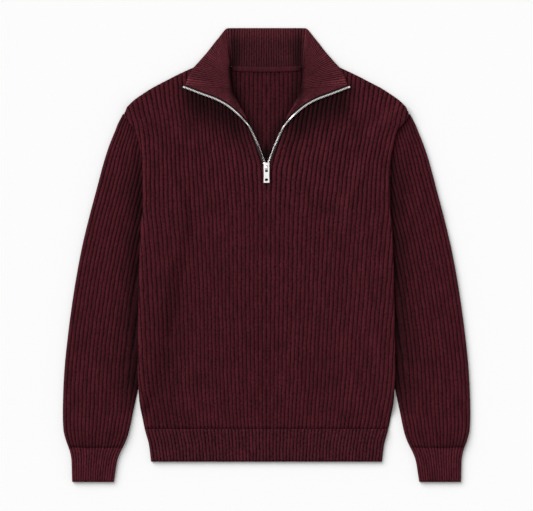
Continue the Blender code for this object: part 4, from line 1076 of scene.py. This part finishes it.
def zipFrames(step):
    # points this far apart on the teeth line, each with its heading, its way to the cloth and its upper side
    dense = np.linspace(0.0, zipRows[-1], 2000)
    line = zipPoint(dense)
    reach = np.append(0.0, np.cumsum(np.linalg.norm(np.diff(line, axis=1), axis=0)))
    where = np.interp(np.linspace(0.0, reach[-1], int(reach[-1] / step)), reach, dense)
    points = zipPoint(where).T
    headings = np.gradient(points, axis=0)
    headings /= np.linalg.norm(headings, axis=1, keepdims=True)
    frames = []
    for point, ahead, row in zip(points, headings, where):
        outward = np.cross(ahead, (0.0, 0.0, 1.0))
        outward /= np.linalg.norm(outward)
        upward = np.cross(outward, ahead)
        angle = math.radians(float(zipCurves["turn"](row)))
        toCloth = math.cos(angle) * outward - math.sin(angle) * upward
        frames.append((point, ahead, toCloth, np.cross(toCloth, ahead), float(zipCurves["tape"](row))))
    return frames, float(reach[-1])


def makeZipTape(sideName, side):
    frames, length = zipFrames(1.4)
    inner = zipSizes["tapeUnder"]
    shown = inner + sum(tape for point, ahead, toCloth, over, tape in frames) / len(frames)
    points = np.empty((5, len(frames), 3))
    knit = np.empty((5, len(frames), 2))
    for i, (point, ahead, toCloth, over, tape) in enumerate(frames):
        for j, part in enumerate(np.linspace(0.0, 1.0, 5)):
            u = -inner + (tape + inner) * part
            points[j, i] = point + toCloth * u + over * 0.5 * zipSizes["tapeThick"]
            knit[j, i] = (u, i * length / len(frames))
    points[..., 0] *= side
    name = "zip_tape_" + sideName
    piece = clothPiece(name + "_woven", points, knit, 0.0, zipSizes["tapeThick"],
                       wovenTape("burgundy woven zip tape " + sideName), name)
    return piece, length, shown


def toothForm():
    # one cast tooth: the clamp on the tape's edge and the narrower head that meshes
    wide, clamp = zipSizes["toothWide"], zipSizes["clampLong"]
    head = zipSizes["headPart"] * wide
    tooth = block((wide - head, clamp, zipSizes["toothHigh"]))
    tooth.name = "tooth_form"
    editPart(tooth, "FACE", lambda face: face.normal.x < -0.9,
             lambda: bpy.ops.mesh.inset(thickness=0.05 * mm),
             lambda: bpy.ops.transform.resize(value=(1.0, zipSizes["headLong"] / clamp, 0.85)),
             lambda: bpy.ops.mesh.extrude_region_move(
                 TRANSFORM_OT_translate={"value": (-head * mm, 0.0, 0.0)}))
    bevel(tooth, 0.25, 1, 40.0)
    return tooth


def makeTeeth(sideName, side, form):
    frames, length = zipFrames(zipSizes["toothPitch"])
    shape = np.array([v.co for v in form.data.vertices])
    shape = shape + np.array([0.5 * zipSizes["headPart"] * zipSizes["toothWide"] * mm, 0.0, 0.0])
    faces = [tuple(face.vertices) for face in form.data.polygons]
    vertices, polygons = [], []
    for index, (point, ahead, toCloth, over, tape) in enumerate(frames):
        placed = shape @ np.column_stack([toCloth, ahead, over]).T + point * mm
        placed[:, 0] *= side
        vertices.extend(placed.tolist())
        # a mirrored tooth's faces run the other way round
        polygons.extend(tuple(index * len(shape) + v for v in face[::int(side)]) for face in faces)
    mesh = bpy.data.meshes.new("zip_teeth_" + sideName)
    mesh.from_pydata(vertices, [], polygons)
    piece = addObject("zip_teeth_" + sideName, mesh)
    editPiece(piece, turnOutwards)
    softEdges(piece, 35.0)
    dress(piece, nickelPlate("nickel teeth " + sideName, 0.38))
    return piece


slider = {
    "top": 161.7, "length": 13.6, "wide": 11.6, "narrow": 8.6, "low": 4.0, "high": 9.6,
    "plate": 1.5,           # thickness of its two plates
    "flange": 1.1,          # lips that hold the teeth in
    "post": 1.5, "postIn": 2.2,
    "crownY": 152.5, "crownWide": 3.6, "crownLong": 10.0, "crownThick": 1.2, "crownTop": 13.6,
    "crownSunk": 0.6,       # depth of its feet in the upper plate
}


def makeSlider():
    low, high, top = slider["low"], slider["high"], slider["top"]
    wide, length, thick, lip = slider["wide"], slider["length"], slider["plate"], slider["flange"]
    middle = (0.0, top - 0.5 * length, 0.5 * (low + high))
    inside = high - low - 1.0
    parts = []
    for height in (low + 0.5 * thick, high - 0.5 * thick):
        plate = block((wide, length, thick), (0.0, middle[1], height))
        # its lower end is drawn in, where the closed teeth leave it
        centre = middle[1] * mm
        editPart(plate, "VERT", lambda vertex: vertex.co.y < centre,
                 lambda: bpy.ops.transform.resize(value=(slider["narrow"] / wide, 1.0, 1.0),
                                                  center_override=(0.0, centre, 0.0)))
        bevel(plate, 0.6, 3)
        parts.append(plate)
    for side in (-1.0, 1.0):
        flange = block((lip, 0.86 * length, inside), (side * 0.5 * (wide - lip) * 0.84, middle[1], middle[2]))
        bevel(flange, 0.35, 2)
        parts.append(flange)
    # the post that parts the two rows of teeth
    deselectAll()
    bpy.ops.mesh.primitive_cylinder_add(vertices=8, radius=slider["post"] * mm, depth=inside * mm,
                                        location=(0.0, (top - slider["postIn"]) * mm, middle[2] * mm))
    bpy.ops.object.transform_apply(location=True)
    parts.append(bpy.context.object)
    # the crown: half a ring, flattened to a strap
    ring, strap = slider["crownLong"], slider["crownThick"]
    deselectAll()
    bpy.ops.mesh.primitive_torus_add(major_segments=40, minor_segments=14,
                                     major_radius=0.5 * (ring - strap) * mm, minor_radius=0.5 * strap * mm)
    crown = bpy.context.object
    crown.rotation_euler = (0.0, math.radians(90.0), 0.0)
    bpy.ops.object.transform_apply(rotation=True)
    crown.scale = (slider["crownWide"] / strap, 1.0, 2.0 * (slider["crownTop"] - high) / ring)
    crown.location = (0.0, slider["crownY"] * mm, high * mm)
    bpy.ops.object.transform_apply(location=True, scale=True)
    foot = (high - slider["crownSunk"]) * mm
    editPiece(crown, lambda: bpy.ops.mesh.bisect(plane_co=(0.0, 0.0, foot), plane_no=(0.0, 0.0, 1.0),
                                                 use_fill=True, clear_inner=True))
    parts.append(crown)
    deselectAll()
    for part in parts:
        part.select_set(True)
    piece = parts[0]
    bpy.context.view_layer.objects.active = piece
    bpy.ops.object.join()
    piece.name = piece.data.name = "zip_slider_cast"
    editPiece(piece, turnOutwards)
    softEdges(piece, 40.0)
    dress(piece, nickelPlate("nickel slider", 0.22))
    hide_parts("zip_slider")
    return piece


def makePull():
    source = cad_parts["pull_tab"]
    piece = source.copy()
    piece.data = source.data.copy()
    piece.name = "zip_pull"
    piece.parent = None
    bpy.context.scene.collection.objects.link(piece)
    for key in [key for key in piece.keys() if key.startswith("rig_")]:
        del piece[key]
    editPiece(piece, weld, lambda: bpy.ops.mesh.dissolve_limited(angle_limit=math.radians(2.0)))
    bevel(piece, 0.3, 3, 50.0)
    softEdges(piece, 40.0)
    dress(piece, nickelPlate("nickel pull", 0.2), body="pull_tab")
    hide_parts("pull_tab")
    return piece


# build
sides = (("left", 1.0), ("right", -1.0))
back = makeBack()
front = makeFront()
print("panels made")
hemBand = makeHem()
sleeves = {name: makeSleeve(name, side) for name, side in sides}
cuffs = {name: makeCuff(name, side) for name, side in sides}
print("hem, sleeves and cuffs made")
collarPiece = makeCollar()
neckBand = makeNeckTape()
print("collar made")
tapes = {name: makeZipTape(name, side) for name, side in sides}
tooth = toothForm()
teeth = {name: makeTeeth(name, side, tooth) for name, side in sides}
bpy.data.objects.remove(tooth)
makeSlider()
makePull()
stopPlate = nickelPlate("nickel top stop", 0.25)
for name, side in sides:
    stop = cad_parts["zip_stop_" + name]
    for stopSlot in stop.material_slots:
        stopSlot.link = "OBJECT"
        stopSlot.material = stopPlate
print("zip made")


def surfaceArea(points):
    across = points[1:, 1:] - points[:-1, :-1]
    back = points[1:, :-1] - points[:-1, 1:]
    return 0.5 * float(np.linalg.norm(np.cross(across, back), axis=-1).sum()) * mm * mm


def flatArea(x, y):
    return surfaceArea(together(x, y, 0.0))


def outlineArea(low, high, width):
    y = np.linspace(low, high, 400)
    return float(np.trapz(width(y), y)) * mm * mm


cutRows = np.linspace(0.0, 1.0, 200)
cutParts = np.linspace(-1.0, 1.0, 241)
bodyWide = 2.0 * float(bodyHalf(245.0)) * mm       # the widest place, at the shoulders' corners
flatArea(*panelPlan(cutParts, cutRows, frontEdge))
flatArea(*panelPlan(cutParts, cutRows, backEdge))
# tubes: the girth is both layers, at its widest
hemGirth, hemHigh = 4.0 * float(bodyHalf(hem["top"])) * mm, (hem["top"] - hem["bottom"]) * mm
2.0 * outlineArea(hem["bottom"], hem["top"], lambda y: 2.0 * bodyHalf(y))
armY = np.linspace(sleeve["cuffSeam"], 74.0, 400)
armGirth = 2.0 * float((sleeveOuterX(armY) - sleeveInnerX(armY)).max()) * mm
armArea = 2.0 * flatArea(*sleevePlace(cutRows[None, :], cutRows[:, None]))
cuffGirth = 2.0 * float(cuffOuterX(sleeve["cuffSeam"]) - cuffInnerX(sleeve["cuffSeam"])) * mm
cuffArea = 2.0 * outlineArea(sleeve["cuffEnd"], sleeve["cuffSeam"], lambda y: cuffOuterX(y) - cuffInnerX(y))
# the collar's half, as points
collarCut = collarHalf()[0]

# floor, light and camera
view = {"pixel": 1.75, "wide": 533, "high": 511, "distance": 6.0, "middleY": -0.9}
deselectAll()
bpy.ops.mesh.primitive_plane_add(size=8.0, location=(0.0, 0.0, -0.0004))
floor = bpy.context.object
floor.name = "paper_floor"
# matt white card
paper, paperTree, paperShader = newMaterial("matt white card")
grainPlace = addNode(paperTree, "ShaderNodeTexCoord").outputs["Object"]
grain = addNode(paperTree, "ShaderNodeTexNoise", {"Vector": grainPlace, "Scale": 400.0}).outputs[0]
fill(paperTree, paperShader, {
    "Base Color": addRamp(paperTree, grain, (0.3, "#f1f1f1"), (0.7, "#f3f3f3")),
    "Roughness": 0.95, "Specular IOR Level": 0.0})
floor.data.materials.append(paper)

light = {"key": 2.75, "spread": 46.0, "from": (-1.0, 1.05, 1.25), "world": 0.46, "top": 36.0, "topSize": 5.0}
key = bpy.data.lights.new("key_softbox", "SUN")   # a wide far softbox, so the card is lit evenly
key.angle = math.radians(light["spread"])
key.energy = light["key"]
keyLamp = addObject("key_softbox", key)
keyLamp.rotation_euler = (-Vector(light["from"])).to_track_quat("-Z", "Y").to_euler()
top = bpy.data.lights.new("top_softbox", "AREA")  # hangs over the camera; the zip's metal mirrors it
top.shape = "DISK"
top.size = light["topSize"]
top.energy = light["top"]
addObject("top_softbox", top).location = (0.0, 0.0, 7.0)
world = bpy.data.worlds.new("studio")
bpy.context.scene.world = world
world.use_nodes = True
sky = world.node_tree.nodes["Background"]
fill(world.node_tree, sky, {"Color": (1.0, 1.0, 1.0, 1.0), "Strength": light["world"]})
bpy.context.scene.view_settings.view_transform = "Standard"

camera = bpy.data.cameras.new("camera")
camera.sensor_width = 36.0
camera.lens = view["distance"] * camera.sensor_width / (view["pixel"] * mm * view["wide"])
camera.clip_end = 50.0
eye = addObject("camera", camera)
eye.location = (0.0, view["middleY"] * mm, view["distance"])
bpy.context.scene.camera = eye
print("stage set")
